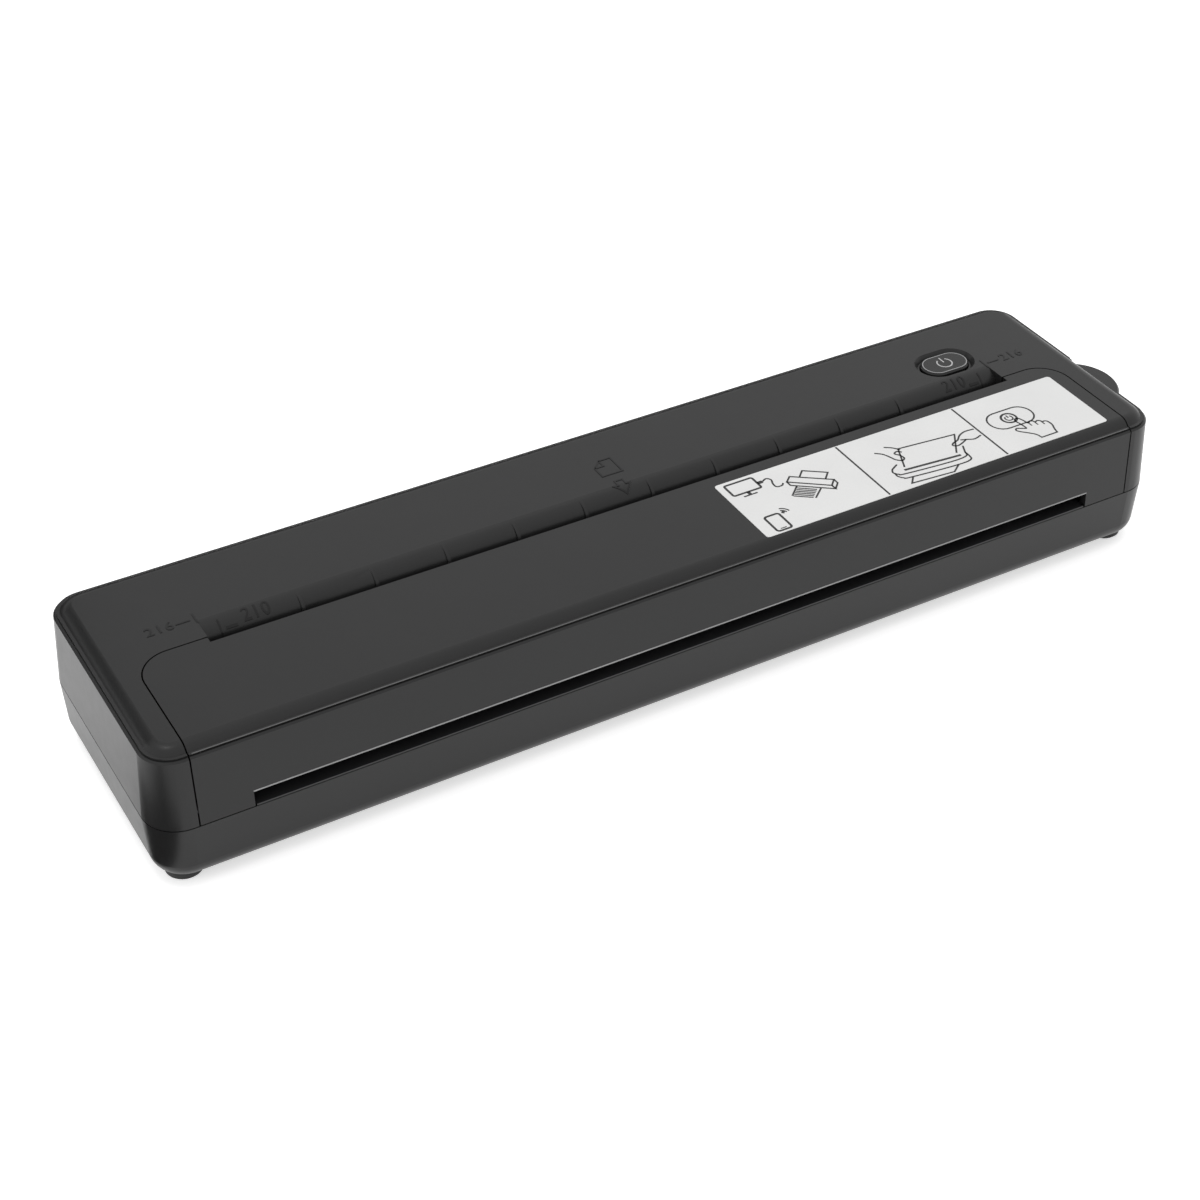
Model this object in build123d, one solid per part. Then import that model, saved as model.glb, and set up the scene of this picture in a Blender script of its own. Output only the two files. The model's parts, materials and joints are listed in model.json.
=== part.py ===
from build123d import *
import math
import os

# Portable A4 thermal printer: a base, an upper shell and a front cover that hinges forward.
#
# The cover carries the platen. A stepper motor drives the platen through three gears, and the sprung
# print head lies below it. Lifting the finger tab at the right end turns a shaft whose two hooks let
# the cover go.
#
# Frame of the functions: X along the length (right end is +X) from the middle of the body, Y to the
# rear, Z up from the table. main() moves the pieces so that the written origin is under the middle
# of the overall length, tab included. All sizes are in millimetres.

# ---------------------------------------------------------------- driving sizes: housing
PAPER_WIDTH = 216.0        # widest sheet
END_BAY = 26.2             # room at each end beside the sheet, for gears, latch and hinges
BODY_DEPTH = 67.2          # at the seam between base and upper shell
CORNER_R = 8.5
FOOT_PROUD = 1.6           # feet below the base
BASE_HEIGHT = 15.6         # base bottom to seam
SHELL_HEIGHT = 18.2        # seam to rim
CROWN = 2.0                # rim to flat top
WALL = 2.0
ROOF = 2.2
FLOOR = 2.0
SHELL_DRAFT = 3.5          # degrees, end and side walls of the upper shell
BASE_DRAFT = 3.0
BASE_EDGE_R = 5.0          # round along the bottom
SEAM_GAP = 0.25            # height of the shadow groove round the seam
SEAM_GROOVE = 0.6          # depth of that groove
LEDGE_STEP = 0.5           # small step between rim and crown
LEDGE_WIDTH = 0.75
RIM_EDGE = 0.4             # bevel on the rim
CROWN_EDGE_R = 3.5
CROWN_INSET = 0.87

# ---------------------------------------------------------------- driving sizes: cover and hinge
COVER_END = 9.87           # end face to the end seam of the cover
COVER_DEPTH = 34.2         # front face to the rear edge of the cover
COVER_CORNER_R = 8.0
COVER_GAP = 0.35
HINGE_INSET = 2.4          # hinge axis behind the front face
HINGE_RISE = 2.7           # hinge axis above the seam
HINGE_PIN_R = 1.0
HINGE_BARREL_R = 2.2
SWING_CLEAR = 0.3
RUN_CLEAR = 0.05           # radial, in every running bearing

# ---------------------------------------------------------------- driving sizes: paper path
PAPER_X = 1.4              # middle of the paper path
INLET_PLAY = 0.2           # inlet longer than the sheet is wide
INLET_GAP = 3.3
INLET_NOTCH = 1.7          # cover edge in front of the inlet, ahead of its rear edge
RAMP_R = 5.0
RAMP_WALL = 1.8
RAMP_DEPTH = 11.3          # top face to the lower end of the ramp wall
RIB_COUNT = 10
RIB_END = 26.515           # inlet end to the outermost rib
RIB_X_SHIFT = -3.08        # rib pattern against the paper path
RIB_WIDTH = 0.8
RIB_PROUD = 0.55
SLOT_PLAY = 3.8            # slot beyond each edge of the sheet
SLOT_HEIGHT = 3.6          # seam to the upper edge of the exit slot
SLOT_CHAMFER = 0.5
LIP_HEIGHT = 0.5
LIP_END_GAP = 0.4

# ---------------------------------------------------------------- driving sizes: platen and head
PLATEN_SETBACK = 16.3      # platen axis behind the front face
PLATEN_RISE = 8.7          # platen axis above the seam
PLATEN_R = 5.5
PLATEN_PLAY = 1.0          # roller longer than the sheet is wide
PLATEN_SHAFT_R = 2.5
BUSHING_WALL = 1.5
BUSHING_FLANGE = 0.8
BRACKET_T = 2.0
BRACKET_RIM = 1.2          # bracket below its bushing
BRACKET_GAP = 1.6          # rubber end to bracket
NIP_GAP = 0.3
CERAMIC_T = 1.0
CERAMIC_WIDTH = 11.0
HEATSINK_T = 2.8
HEATSINK_WIDTH = 16.5
HEAD_PIVOT_R = 1.5
HEAD_PIVOT_DROP = 1.6      # pivot rod below the underside of the heatsink
HEAD_PIVOT_BACK = 2.9      # pivot rod behind the heatsink
HEAD_PLAY = 6.0            # print head longer than the sheet is wide
HEAD_EARS = (-69.4, 10.6, 82.6)          # from the middle of the paper path
HEAD_HOOKS = (-65.9, 79.1)
LEAF_OFFSET = 68.0         # outer leaf springs from the middle one
LEAF_WIDTH = 8.0
LEAF_T = 0.4
LEAF_REACH = 6.0           # from the print line to each end of a leaf
LEAF_CLEAR = 0.2           # leaf to heatsink at rest
SEAT_HEIGHT = 5.0          # spring seats above the floor

# ---------------------------------------------------------------- driving sizes: gear train
GEAR_MODULE = 0.5
PRESSURE_ANGLE = 25.0
BACKLASH = 0.10
ADDENDUM = 0.85
DEDENDUM = 1.2
PLATEN_TEETH = 24
IDLER_TEETH = 30
SMALL_TEETH = 16
LARGE_TEETH = 42
PINION_TEETH = 12
IDLER_DIRECTION = -65.2    # degrees, from the platen axis to the idler axis in the YZ plane
GEAR_WIDTH = 3.2
LARGE_WIDTH = 2.4
GEAR_POST_R = 1.5
PLATE_T = 1.0
MOTOR_R = 7.5
MOTOR_LENGTH = 16.0
MOTOR_COLLAR_R = 3.0
MOTOR_BACK = 30.1          # motor axis behind the platen axis
MOTOR_RISE = 9.5           # motor axis above the floor
MOTOR_SHAFT_R = 1.0
PLATE_EDGE = 3.8           # steel plates beyond the holes they carry
PLATE_FOOT = 6.5           # foot of each plate along the floor

# ---------------------------------------------------------------- driving sizes: latch
LATCH_BACK = 22.3          # latch shaft behind the platen axis
LATCH_RISE = 3.4           # latch shaft above the seam
LATCH_SHAFT_R = 2.0
HOOK_BOSS_R = 3.0
HOOK_T = 2.2
HOOK_REACH = 0.7           # nose over the catch foot
HOOK_GAP = 0.35
CATCH_T = 1.8
CATCH_DEPTH = 1.6
CATCH_FOOT = 1.4
CATCH_RISE = 9.4           # underside of the catch foot above the seam
LEVER_T = 2.4
LEVER_END = 7.0            # end face to the lever
TAB_R = 10.9
TAB_SETBACK = 24.9         # middle of the tab behind the front face
TAB_PROUD = 4.1
TAB_HEIGHT = 3.8
TAB_DROP = 0.5             # tab top below the rim
TAB_HALF_WIDTH = 8.4       # half of the tab where it leaves the body
NOTCH_REAR_GAP = 1.75
NOTCH_FRONT_GAP = 0.5
LATCH_COIL_WIRE = 0.6
LATCH_COIL_TURNS = 3

# ---------------------------------------------------------------- driving sizes: button, label, electronics
BUTTON_END = 33.3          # end face to the middle of the button
BUTTON_AHEAD = 4.4         # button ahead of the middle of the rear bay
BUTTON_LENGTH = 13.2
BUTTON_WIDTH = 8.2
BUTTON_CLEAR = 0.25
BUTTON_TRAVEL = 0.8
DISH_BORDER = 1.6
DISH_DEPTH = 1.3
BUTTON_HEIGHT = 5.4
BUTTON_POST = 13.5         # posts of its board from the middle of the button
LABEL_LENGTH = 100.4
LABEL_WIDTH = 23.5
LABEL_END = 4.43           # label to the end of the cover
LABEL_SETBACK = 16.95      # middle of the label behind the front face
LABEL_T = 0.12
CELL_R = 9.2
CELL_CLEAR = 0.1
CELL_LENGTH = 65.0
CRADLE_OFFSET = 38.0       # outer battery cradles from the middle one
BATTERY_X = -16.0
BATTERY_BACK = 10.4        # battery behind the latch shaft
BOARD_T = 1.6
BOARD_LENGTH = 60.0
BOARD_WIDTH = 20.2
BOARD_END = 8.2            # end face to the main board
BOARD_EDGE = 4.0           # rear face to the main board
USB_BACK = 10.0            # port behind the latch shaft
USB_WIDTH = 8.94
USB_HEIGHT = 3.26
USB_LENGTH = 7.35
FOOT_R = 4.3
FOOT_SEAT = 1.2            # depth of the recess that holds a foot
FOOT_BEVEL = 0.6
FOOT_END = 7.5             # end face to the middle of a foot
FOOT_EDGE = 7.7            # front or rear face to the middle of a foot
SCREW_R = 1.1
SCREW_HEAD_R = 2.2
SCREW_BOSS_R = 2.9
SIDE_SCREW_END = 5.8       # end face to the two side screws
SIDE_SCREW_SETBACK = 21.6
REAR_SCREW_END = 19.2      # end face to the two rear screws
REAR_SCREW_EDGE = 7.8
RIBBON_X = 91.0
RIBBON_WIDTH = 5.0
RIBBON_T = 0.3

# ---------------------------------------------------------------- levels and faces worked out from them
BODY_LENGTH = PAPER_WIDTH + 2 * END_BAY
END_X = BODY_LENGTH / 2
REAR_Y = BODY_DEPTH / 2
FRONT_Y = -REAR_Y
BASE_Z = FOOT_PROUD
FLOOR_Z = BASE_Z + FLOOR
SEAM_Z = BASE_Z + BASE_HEIGHT
RIM_Z = SEAM_Z + SHELL_HEIGHT
TOP_Z = RIM_Z + CROWN
ROOF_Z = TOP_Z - ROOF
SHELL_SHRINK = SHELL_HEIGHT * math.tan(math.radians(SHELL_DRAFT))
RIM_LENGTH = BODY_LENGTH - 2 * SHELL_SHRINK
RIM_DEPTH = BODY_DEPTH - 2 * SHELL_SHRINK
RIM_R = CORNER_R - SHELL_SHRINK
COVER_HALF_LENGTH = END_X - COVER_END
COVER_REAR_Y = FRONT_Y + COVER_DEPTH
HINGE_Y = FRONT_Y + HINGE_INSET
HINGE_Z = SEAM_Z + HINGE_RISE
INLET_LENGTH = PAPER_WIDTH + INLET_PLAY
INLET_FRONT_Y = COVER_REAR_Y - INLET_NOTCH
INLET_X = (PAPER_X - INLET_LENGTH / 2, PAPER_X + INLET_LENGTH / 2)
RAMP_FACE_Y = INLET_FRONT_Y + INLET_GAP
RAMP_Y = RAMP_FACE_Y + RAMP_R
RAMP_LOW_Z = TOP_Z - RAMP_DEPTH
REAR_BAY_Y = (RAMP_FACE_Y + REAR_Y) / 2                  # middle of the bay behind the paper path
RIB_PITCH = (INLET_LENGTH - 2 * RIB_END) / (RIB_COUNT - 1)
SLOT_HALF_LENGTH = PAPER_WIDTH / 2 + SLOT_PLAY
PLATEN_Y = FRONT_Y + PLATEN_SETBACK
PLATEN_LENGTH = PAPER_WIDTH + PLATEN_PLAY
HEAD_LENGTH = PAPER_WIDTH + HEAD_PLAY
PLATEN_Z = SEAM_Z + PLATEN_RISE
CERAMIC_Z = PLATEN_Z - PLATEN_R - NIP_GAP
HEATSINK_Z = CERAMIC_Z - CERAMIC_T
HEAD_Y = (PLATEN_Y - HEATSINK_WIDTH / 2 + 1.0, PLATEN_Y + HEATSINK_WIDTH / 2 + 1.0)
HEAD_X = (PAPER_X - HEAD_LENGTH / 2, PAPER_X + HEAD_LENGTH / 2)
HEAD_PIVOT_Y = HEAD_Y[1] + HEAD_PIVOT_BACK
HEAD_PIVOT_Z = HEATSINK_Z - HEATSINK_T - HEAD_PIVOT_DROP
PLATEN_X = (PAPER_X - PLATEN_LENGTH / 2, PAPER_X + PLATEN_LENGTH / 2)
BUSHING_R = PLATEN_SHAFT_R + RUN_CLEAR + BUSHING_WALL
LATCH_Y = PLATEN_Y + LATCH_BACK
LATCH_Z = SEAM_Z + LATCH_RISE
MOTOR_Y = PLATEN_Y + MOTOR_BACK
MOTOR_Z = FLOOR_Z + MOTOR_RISE
SLOT_TOP_Z = SEAM_Z + SLOT_HEIGHT
LIP_Z = SEAM_Z + LIP_HEIGHT
BRACKETS_X = (PLATEN_X[0] - BRACKET_GAP - BRACKET_T, PLATEN_X[1] + BRACKET_GAP)
HOOKS_X = (BRACKETS_X[0] - 0.6 - HOOK_T, BRACKETS_X[1] + BRACKET_T + 0.6)
PLATES_X = (HOOKS_X[0] - 0.8 - PLATE_T, HOOKS_X[1] + HOOK_T + 0.8)
GEARS_X = (PLATES_X[0] - 0.4 - GEAR_WIDTH, PLATES_X[0] - 0.4)
LARGE_X = (GEARS_X[0] - 0.3 - LARGE_WIDTH, GEARS_X[0] - 0.3)
GEAR_PLATE_FRONT_Z = PLATEN_Z - BUSHING_R - 1.6
TAB_Y = FRONT_Y + TAB_SETBACK
TAB_TIP_X = RIM_LENGTH / 2 + TAB_PROUD
TAB_CENTRE_X = TAB_TIP_X - TAB_R
TAB_ROOT_X = RIM_LENGTH / 2 - 2 * LEDGE_WIDTH + 0.15     # just outside the crown
TAB_FLOOR_Z = RIM_Z - TAB_DROP - TAB_HEIGHT
MIDDLE_X = (TAB_TIP_X - END_X) / 2                       # middle of the overall length
PIN_START_X = SLOT_HALF_LENGTH + 4.0
PIN_END_X = COVER_HALF_LENGTH + 4.0
LEVER_X = (END_X - LEVER_END, END_X - LEVER_END + LEVER_T)
BUTTON_X = END_X - BUTTON_END
BUTTON_Y = REAR_BAY_Y - BUTTON_AHEAD
BUTTON_POSTS_X = (BUTTON_X - BUTTON_POST, BUTTON_X + BUTTON_POST)
COLLAR_Z = TOP_Z - BUTTON_HEIGHT + 1.0 + 0.2             # underside of the collar that guides the button
BUTTON_BOARD_TOP = COLLAR_Z - 6.6
LABEL_X = COVER_HALF_LENGTH - LABEL_END - LABEL_LENGTH / 2
LABEL_Y = FRONT_Y + LABEL_SETBACK
BATTERY_Y = LATCH_Y + BATTERY_BACK
BATTERY_Z = FLOOR_Z + CELL_R + 0.8
USB_Y = LATCH_Y + USB_BACK
USB_Z = SEAM_Z + USB_HEIGHT / 2 + 0.6
BOARD_X = (END_X - BOARD_END - BOARD_LENGTH, END_X - BOARD_END)
BOARD_Y = (REAR_Y - BOARD_EDGE - BOARD_WIDTH, REAR_Y - BOARD_EDGE)
BOARD_Z = USB_Z - USB_HEIGHT / 2 - BOARD_T
BOARD_POSTS = [(BOARD_X[0] + 4, BOARD_Y[1] - 3.2), (BOARD_X[0] + 42, REAR_BAY_Y - 5.1)]
FOOT_PLACES = [
    (x, y)
    for x in (FOOT_END - END_X, END_X - FOOT_END)
    for y in (FRONT_Y + FOOT_EDGE, REAR_Y - FOOT_EDGE)
]
SCREW_PLACES = [
    (SIDE_SCREW_END - END_X, FRONT_Y + SIDE_SCREW_SETBACK),
    (END_X - SIDE_SCREW_END, FRONT_Y + SIDE_SCREW_SETBACK),
    (REAR_SCREW_END - END_X, REAR_Y - REAR_SCREW_EDGE),
    (END_X - REAR_SCREW_END, REAR_Y - REAR_SCREW_EDGE),
]
HEAD_EARS_X = [PAPER_X + offset for offset in HEAD_EARS]
HEAD_HOOKS_X = [PAPER_X + offset for offset in HEAD_HOOKS]
SPRINGS_X = (PAPER_X - LEAF_OFFSET, PAPER_X, PAPER_X + LEAF_OFFSET)
SPRING_SEAT_Z = FLOOR_Z + SEAT_HEIGHT
HOOK_FACE_Y = LATCH_Y - 5.9
CATCH_FOOT_Y = HOOK_FACE_Y - HOOK_GAP
CATCH_FACE_Y = CATCH_FOOT_Y - HOOK_REACH - HOOK_GAP
SENSOR_X = (-46.0, -34.0)
SENSOR_Y = (RAMP_FACE_Y - 6.6, RAMP_FACE_Y - 3.4)
SENSOR_Z = CERAMIC_Z - 2.4


# ---------------------------------------------------------------- small helpers
def block(x, y, z):
    """A box between the limits x, y and z, each a (low, high) pair."""
    size = [pair[1] - pair[0] for pair in (x, y, z)]
    middle = [(pair[0] + pair[1]) / 2 for pair in (x, y, z)]
    return Pos(*middle) * Box(*size)


def rod(x, y, z, radius):
    """A round bar along X between the limits x."""
    return Pos((x[0] + x[1]) / 2, y, z) * Rot(0, 90, 0) * Cylinder(radius, x[1] - x[0])


def column(x, y, z, radius):
    """An upright round bar between the limits z."""
    return Pos(x, y, (z[0] + z[1]) / 2) * Cylinder(radius, z[1] - z[0])


def across(face, x):
    """A face drawn in (Y, Z), carried along X between the limits x."""
    return extrude(Plane.YZ.offset(x[0]) * face, x[1] - x[0])


def polygon(*points):
    return make_face(Polyline(*points, close=True))


def disc(y, z, radius):
    return Pos(y, z) * Circle(radius)


def outline(length, depth, radius, z):
    return Pos(0, 0, z) * RectangleRounded(length, depth, radius)


def inset_outline(inset, z):
    """The rim outline moved inwards."""
    return outline(RIM_LENGTH - 2 * inset, RIM_DEPTH - 2 * inset, RIM_R - inset, z)


def mirrored(solid):
    """The solid and its twin at the other end of the body."""
    return [solid, mirror(solid, about=Plane.YZ)]


def edges_at(solid, z):
    """Edges that lie wholly at one height."""
    return solid.edges().filter_by_position(Axis.Z, z - 0.01, z + 0.01)


# ---------------------------------------------------------------- housing
def housing_outside():
    """Outer form of upper shell and cover together: drafted walls, ledge and rounded crown."""
    walls = extrude(outline(BODY_LENGTH, BODY_DEPTH, CORNER_R, SEAM_Z), SHELL_HEIGHT, taper=SHELL_DRAFT)
    walls = chamfer(edges_at(walls, RIM_Z), RIM_EDGE)
    ledge = extrude(inset_outline(LEDGE_WIDTH, RIM_Z - 1), 1 + LEDGE_STEP)
    crown = extrude(inset_outline(CROWN_INSET, TOP_Z - CROWN_EDGE_R), CROWN_EDGE_R)
    crown = fillet(edges_at(crown, TOP_Z), CROWN_EDGE_R - 0.01)
    return walls + ledge + crown


def housing_inside():
    return extrude(
        outline(BODY_LENGTH - 2 * WALL, BODY_DEPTH - 2 * WALL, CORNER_R - WALL, SEAM_Z),
        ROOF_Z - SEAM_Z,
        taper=SHELL_DRAFT,
    )


def seam_groove():
    """Ring that is cut from the foot of the upper shell, so that a shadow line marks the seam."""
    ring = block((-BODY_LENGTH, BODY_LENGTH), (-BODY_DEPTH, BODY_DEPTH), (SEAM_Z, SEAM_Z + SEAM_GAP))
    length, depth = BODY_LENGTH - 2 * SEAM_GROOVE, BODY_DEPTH - 2 * SEAM_GROOVE
    return ring - extrude(outline(length, depth, CORNER_R - SEAM_GROOVE, SEAM_Z), SEAM_GAP)


def cover_region(margin):
    """The part of the housing that belongs to the cover, grown by a margin on every free side."""
    half = COVER_HALF_LENGTH + margin
    front = FRONT_Y - 10
    rear = COVER_REAR_Y + margin
    plan = Pos(0, (front + rear) / 2) * Rectangle(2 * half, rear - front)
    plan = fillet(plan.vertices().group_by(Axis.Y)[-1], COVER_CORNER_R + margin)
    region = extrude(Pos(0, 0, SEAM_Z - 1) * plan, TOP_Z - SEAM_Z + 2)
    inlet_x = (INLET_X[0] + margin, INLET_X[1] - margin)
    inlet = block(inlet_x, (INLET_FRONT_Y + margin, rear + 1), (SEAM_Z - 2, TOP_Z + 2))
    return region - inlet


def ramp_wall():
    """Rounded shoulder of the paper inlet, with the wall that runs down behind the paper."""
    outer_low = (RAMP_FACE_Y, RAMP_LOW_Z)
    inner_face_y = RAMP_FACE_Y + RAMP_WALL
    centre_z = TOP_Z - RAMP_R
    inner_r = RAMP_R - RAMP_WALL
    section = make_face([
        Line((RAMP_Y, TOP_Z - RAMP_WALL), (RAMP_Y, TOP_Z)),
        RadiusArc((RAMP_Y, TOP_Z), (RAMP_FACE_Y, centre_z), -RAMP_R),
        Line((RAMP_FACE_Y, centre_z), outer_low),
        Line(outer_low, (inner_face_y, RAMP_LOW_Z)),
        Line((inner_face_y, RAMP_LOW_Z), (inner_face_y, centre_z)),
        RadiusArc((inner_face_y, centre_z), (RAMP_Y, centre_z + inner_r), inner_r),
    ])
    return across(section, INLET_X)


def ramp_mouth():
    """What is taken out of the roof in front of the ramp."""
    centre_z = TOP_Z - RAMP_R
    front = INLET_FRONT_Y - COVER_GAP
    section = make_face([
        Polyline((RAMP_Y, TOP_Z), (RAMP_Y, TOP_Z + 1), (front, TOP_Z + 1), (front, RAMP_LOW_Z),
                 (RAMP_FACE_Y, RAMP_LOW_Z), (RAMP_FACE_Y, centre_z)),
        RadiusArc((RAMP_FACE_Y, centre_z), (RAMP_Y, TOP_Z), RAMP_R),
    ])
    return across(section, INLET_X)


def ramp_ribs():
    """Ten low ribs that carry the sheet down the ramp."""
    centre = (RAMP_Y - RIB_PROUD, TOP_Z - RAMP_R - 0.1)
    section = disc(*centre, RAMP_R) - disc(*centre, RAMP_R - 1.2)
    quarter = Pos(centre[0] - RAMP_R / 2, centre[1] + RAMP_R / 2) * Rectangle(RAMP_R, RAMP_R)
    stem = Pos(centre[0] - RAMP_R + 0.6, centre[1] - 1.5) * Rectangle(1.2, 3.0)
    face = section & quarter
    ribs = []
    for index in range(RIB_COUNT):
        x = PAPER_X + RIB_X_SHIFT + RIB_PITCH * (index - (RIB_COUNT - 1) / 2)
        ribs.append(across(face, (x - RIB_WIDTH / 2, x + RIB_WIDTH / 2)))
        ribs.append(across(stem, (x - RIB_WIDTH / 2, x + RIB_WIDTH / 2)))
    return ribs


def stadium(length, width, z):
    return Pos(BUTTON_X, BUTTON_Y, z) * SlotOverall(length, width)


def button_dish(solid):
    """Sunk dish with a guide collar for the power button."""
    wide = BUTTON_LENGTH + 2 * DISH_BORDER
    tall = BUTTON_WIDTH + 2 * DISH_BORDER
    collar = extrude(stadium(wide, tall, COLLAR_Z), TOP_Z - 1 - COLLAR_Z)
    dish = extrude(stadium(wide, tall, TOP_Z), -DISH_DEPTH, taper=35)
    hole = extrude(
        stadium(BUTTON_LENGTH + 2 * BUTTON_CLEAR, BUTTON_WIDTH + 2 * BUTTON_CLEAR, COLLAR_Z - 1),
        TOP_Z - COLLAR_Z + 2,
    )
    return solid + collar - dish - hole


def upper_shell():
    shell = housing_outside() - housing_inside() - cover_region(COVER_GAP / 2) - seam_groove()
    shell = shell - ramp_mouth() + ramp_wall()
    cheek_z = (RAMP_LOW_Z, ROOF_Z + 1)
    for x in ((INLET_X[0] - RAMP_WALL, INLET_X[0]), (INLET_X[1], INLET_X[1] + RAMP_WALL)):
        shell += block(x, (COVER_REAR_Y + 0.6, RAMP_FACE_Y + RAMP_WALL), cheek_z)
    shell += ramp_ribs()
    shell = button_dish(shell)
    for x in BUTTON_POSTS_X:
        shell += column(x, BUTTON_Y, (BUTTON_BOARD_TOP, ROOF_Z + 0.5), 2.2)
        shell -= column(x, BUTTON_Y, (BUTTON_BOARD_TOP - 1, ROOF_Z - 1), 0.8)
    # hinge bosses in the two front corners
    end_x = COVER_HALF_LENGTH + COVER_GAP / 2
    boss_x = (end_x, END_X - WALL - 0.2)
    boss = rod(boss_x, HINGE_Y, HINGE_Z, HINGE_BARREL_R)
    boss += block(boss_x, (FRONT_Y + WALL / 2, HINGE_Y), (HINGE_Z - HINGE_BARREL_R, HINGE_Z + 6))
    shell += [part & housing_outside() for part in mirrored(boss)]
    shell -= mirrored(rod((end_x - 1, PIN_END_X), HINGE_Y, HINGE_Z, HINGE_PIN_R))
    # screw bosses that meet those of the base at the seam
    for x, y in SCREW_PLACES:
        top = ROOF_Z + 0.5 if y > 0 else SEAM_Z + 6
        shell += column(x, y, (SEAM_Z, top), SCREW_BOSS_R)
        if y < 0:
            side = math.copysign(1, x)
            rib_x = sorted((x, side * (END_X - WALL)))
            shell += block(rib_x, (y - 1, y + 1), (SEAM_Z, top))
        shell -= column(x, y, (SEAM_Z - 1, SEAM_Z + 4.5), SCREW_R)
    # notch and window for the release lever
    notch_y = (TAB_Y - TAB_HALF_WIDTH - NOTCH_FRONT_GAP, TAB_Y + TAB_HALF_WIDTH + NOTCH_REAR_GAP)
    shell -= block((TAB_ROOT_X, BODY_LENGTH), notch_y, (TAB_FLOOR_Z - 0.6, TOP_Z + 1))
    shell -= block((TAB_ROOT_X - 3.5, BODY_LENGTH), (notch_y[0] + 1, notch_y[1] - 0.2),
                   (TAB_FLOOR_Z - 0.6, ROOF_Z))
    # port opening in the right end wall
    port = Pos(END_X, USB_Y, USB_Z) * Rot(0, 90, 0) * Rot(0, 0, 90)
    shell -= port * extrude(SlotOverall(USB_WIDTH + 0.5, USB_HEIGHT + 0.5), 8, both=True)
    return shell


def base():
    outer = extrude(outline(BODY_LENGTH, BODY_DEPTH, CORNER_R, SEAM_Z), -BASE_HEIGHT, taper=BASE_DRAFT)
    outer = fillet(edges_at(outer, BASE_Z), BASE_EDGE_R)
    inner = extrude(
        outline(BODY_LENGTH - 2 * WALL, BODY_DEPTH - 2 * WALL, CORNER_R - WALL, SEAM_Z),
        FLOOR_Z - SEAM_Z,
        taper=BASE_DRAFT,
    )
    inner = chamfer(edges_at(inner, FLOOR_Z), BASE_EDGE_R - WALL)
    shell = outer - inner
    shell += seam_tongue()
    for x, y in SCREW_PLACES:
        shell += column(x, y, (BASE_Z + 1, SEAM_Z - SEAM_GAP), SCREW_BOSS_R)
    for x, y in SCREW_PLACES:
        shell -= column(x, y, (0, BASE_Z + 3.0), SCREW_HEAD_R + 0.2)
        shell -= column(x, y, (0, SEAM_Z), SCREW_R + 0.2)
    for x, y in FOOT_PLACES:
        shell -= column(x, y, (0, BASE_Z + FOOT_SEAT), FOOT_R + 0.1)
    # the top of the front wall is hollowed so that the cover's lower edge can swing past it
    reach = math.hypot(HINGE_INSET, HINGE_RISE - SEAM_GAP) + SWING_CLEAR / 2
    hollow_x = (SLOT_HALF_LENGTH - COVER_GAP, COVER_HALF_LENGTH + COVER_GAP / 2)
    shell -= mirrored(rod(hollow_x, HINGE_Y, HINGE_Z, reach))
    # battery cradle, board posts, head pivot ears and spring spigots
    cells_x = (BATTERY_X - CELL_LENGTH, BATTERY_X + CELL_LENGTH)
    battery = rod(cells_x, BATTERY_Y, BATTERY_Z, CELL_R + CELL_CLEAR)
    cradle_y = (BATTERY_Y - CELL_R, BATTERY_Y + CELL_R)
    for x in (BATTERY_X - CRADLE_OFFSET, BATTERY_X, BATTERY_X + CRADLE_OFFSET):
        shell += block((x - 1, x + 1), cradle_y, (FLOOR_Z - 0.5, BATTERY_Z - 3)) - battery
    for x, y in BOARD_POSTS:
        shell += column(x, y, (FLOOR_Z - 0.5, BOARD_Z), 2.4) - column(x, y, (BOARD_Z - 6, BOARD_Z + 1), 0.8)
    for x in HEAD_EARS_X:
        ear = block((x - 1.25, x + 1.25), (HEAD_Y[1] + 0.4, HEAD_PIVOT_Y + 3.2),
                    (FLOOR_Z - 0.5, HEAD_PIVOT_Z + 3.0))
        shell += ear - rod((x - 3, x + 3), HEAD_PIVOT_Y, HEAD_PIVOT_Z, HEAD_PIVOT_R)
    for x in SPRINGS_X:
        for rib_x in (x - LEAF_WIDTH / 2 + 1, x + LEAF_WIDTH / 2 - 1):
            shell += block((rib_x - 0.6, rib_x + 0.6), (PLATEN_Y - LEAF_REACH, PLATEN_Y + LEAF_REACH),
                           (FLOOR_Z - 0.5, SPRING_SEAT_Z))
    return shell


def seam_tongue():
    """Inner lip of the base that locates the upper shell; open at the front and at the port."""
    length = BODY_LENGTH - 2 * WALL
    depth = BODY_DEPTH - 2 * WALL
    radius = CORNER_R - WALL
    low = SEAM_Z - 3.0
    foot = extrude(outline(length + 0.3, depth + 0.3, radius + 0.15, low), 3.0 - SEAM_GAP)
    foot -= extrude(outline(length - 2.4, depth - 2.4, radius - 1.2, low), 3.0)
    rise = extrude(outline(length - 0.5, depth - 0.5, radius - 0.25, low), 4.4)
    rise -= extrude(outline(length - 2.4, depth - 2.4, radius - 1.2, low), 4.4)
    tongue = foot + rise
    tongue -= block((-BODY_LENGTH, BODY_LENGTH), (-BODY_DEPTH, TAB_Y - 12), (0, TOP_Z))
    tongue -= block((END_X - 8, END_X + 8), (USB_Y - 7, USB_Y + 7), (0, TOP_Z))
    for x, y in SCREW_PLACES:
        tongue -= column(x, y, (SEAM_Z - SEAM_GAP, TOP_Z), SCREW_BOSS_R + 0.3)
        if y < 0:
            tongue -= block((x - 8, x + 8), (y - 1.3, y + 1.3), (SEAM_Z - SEAM_GAP, TOP_Z))
    return tongue


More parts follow.
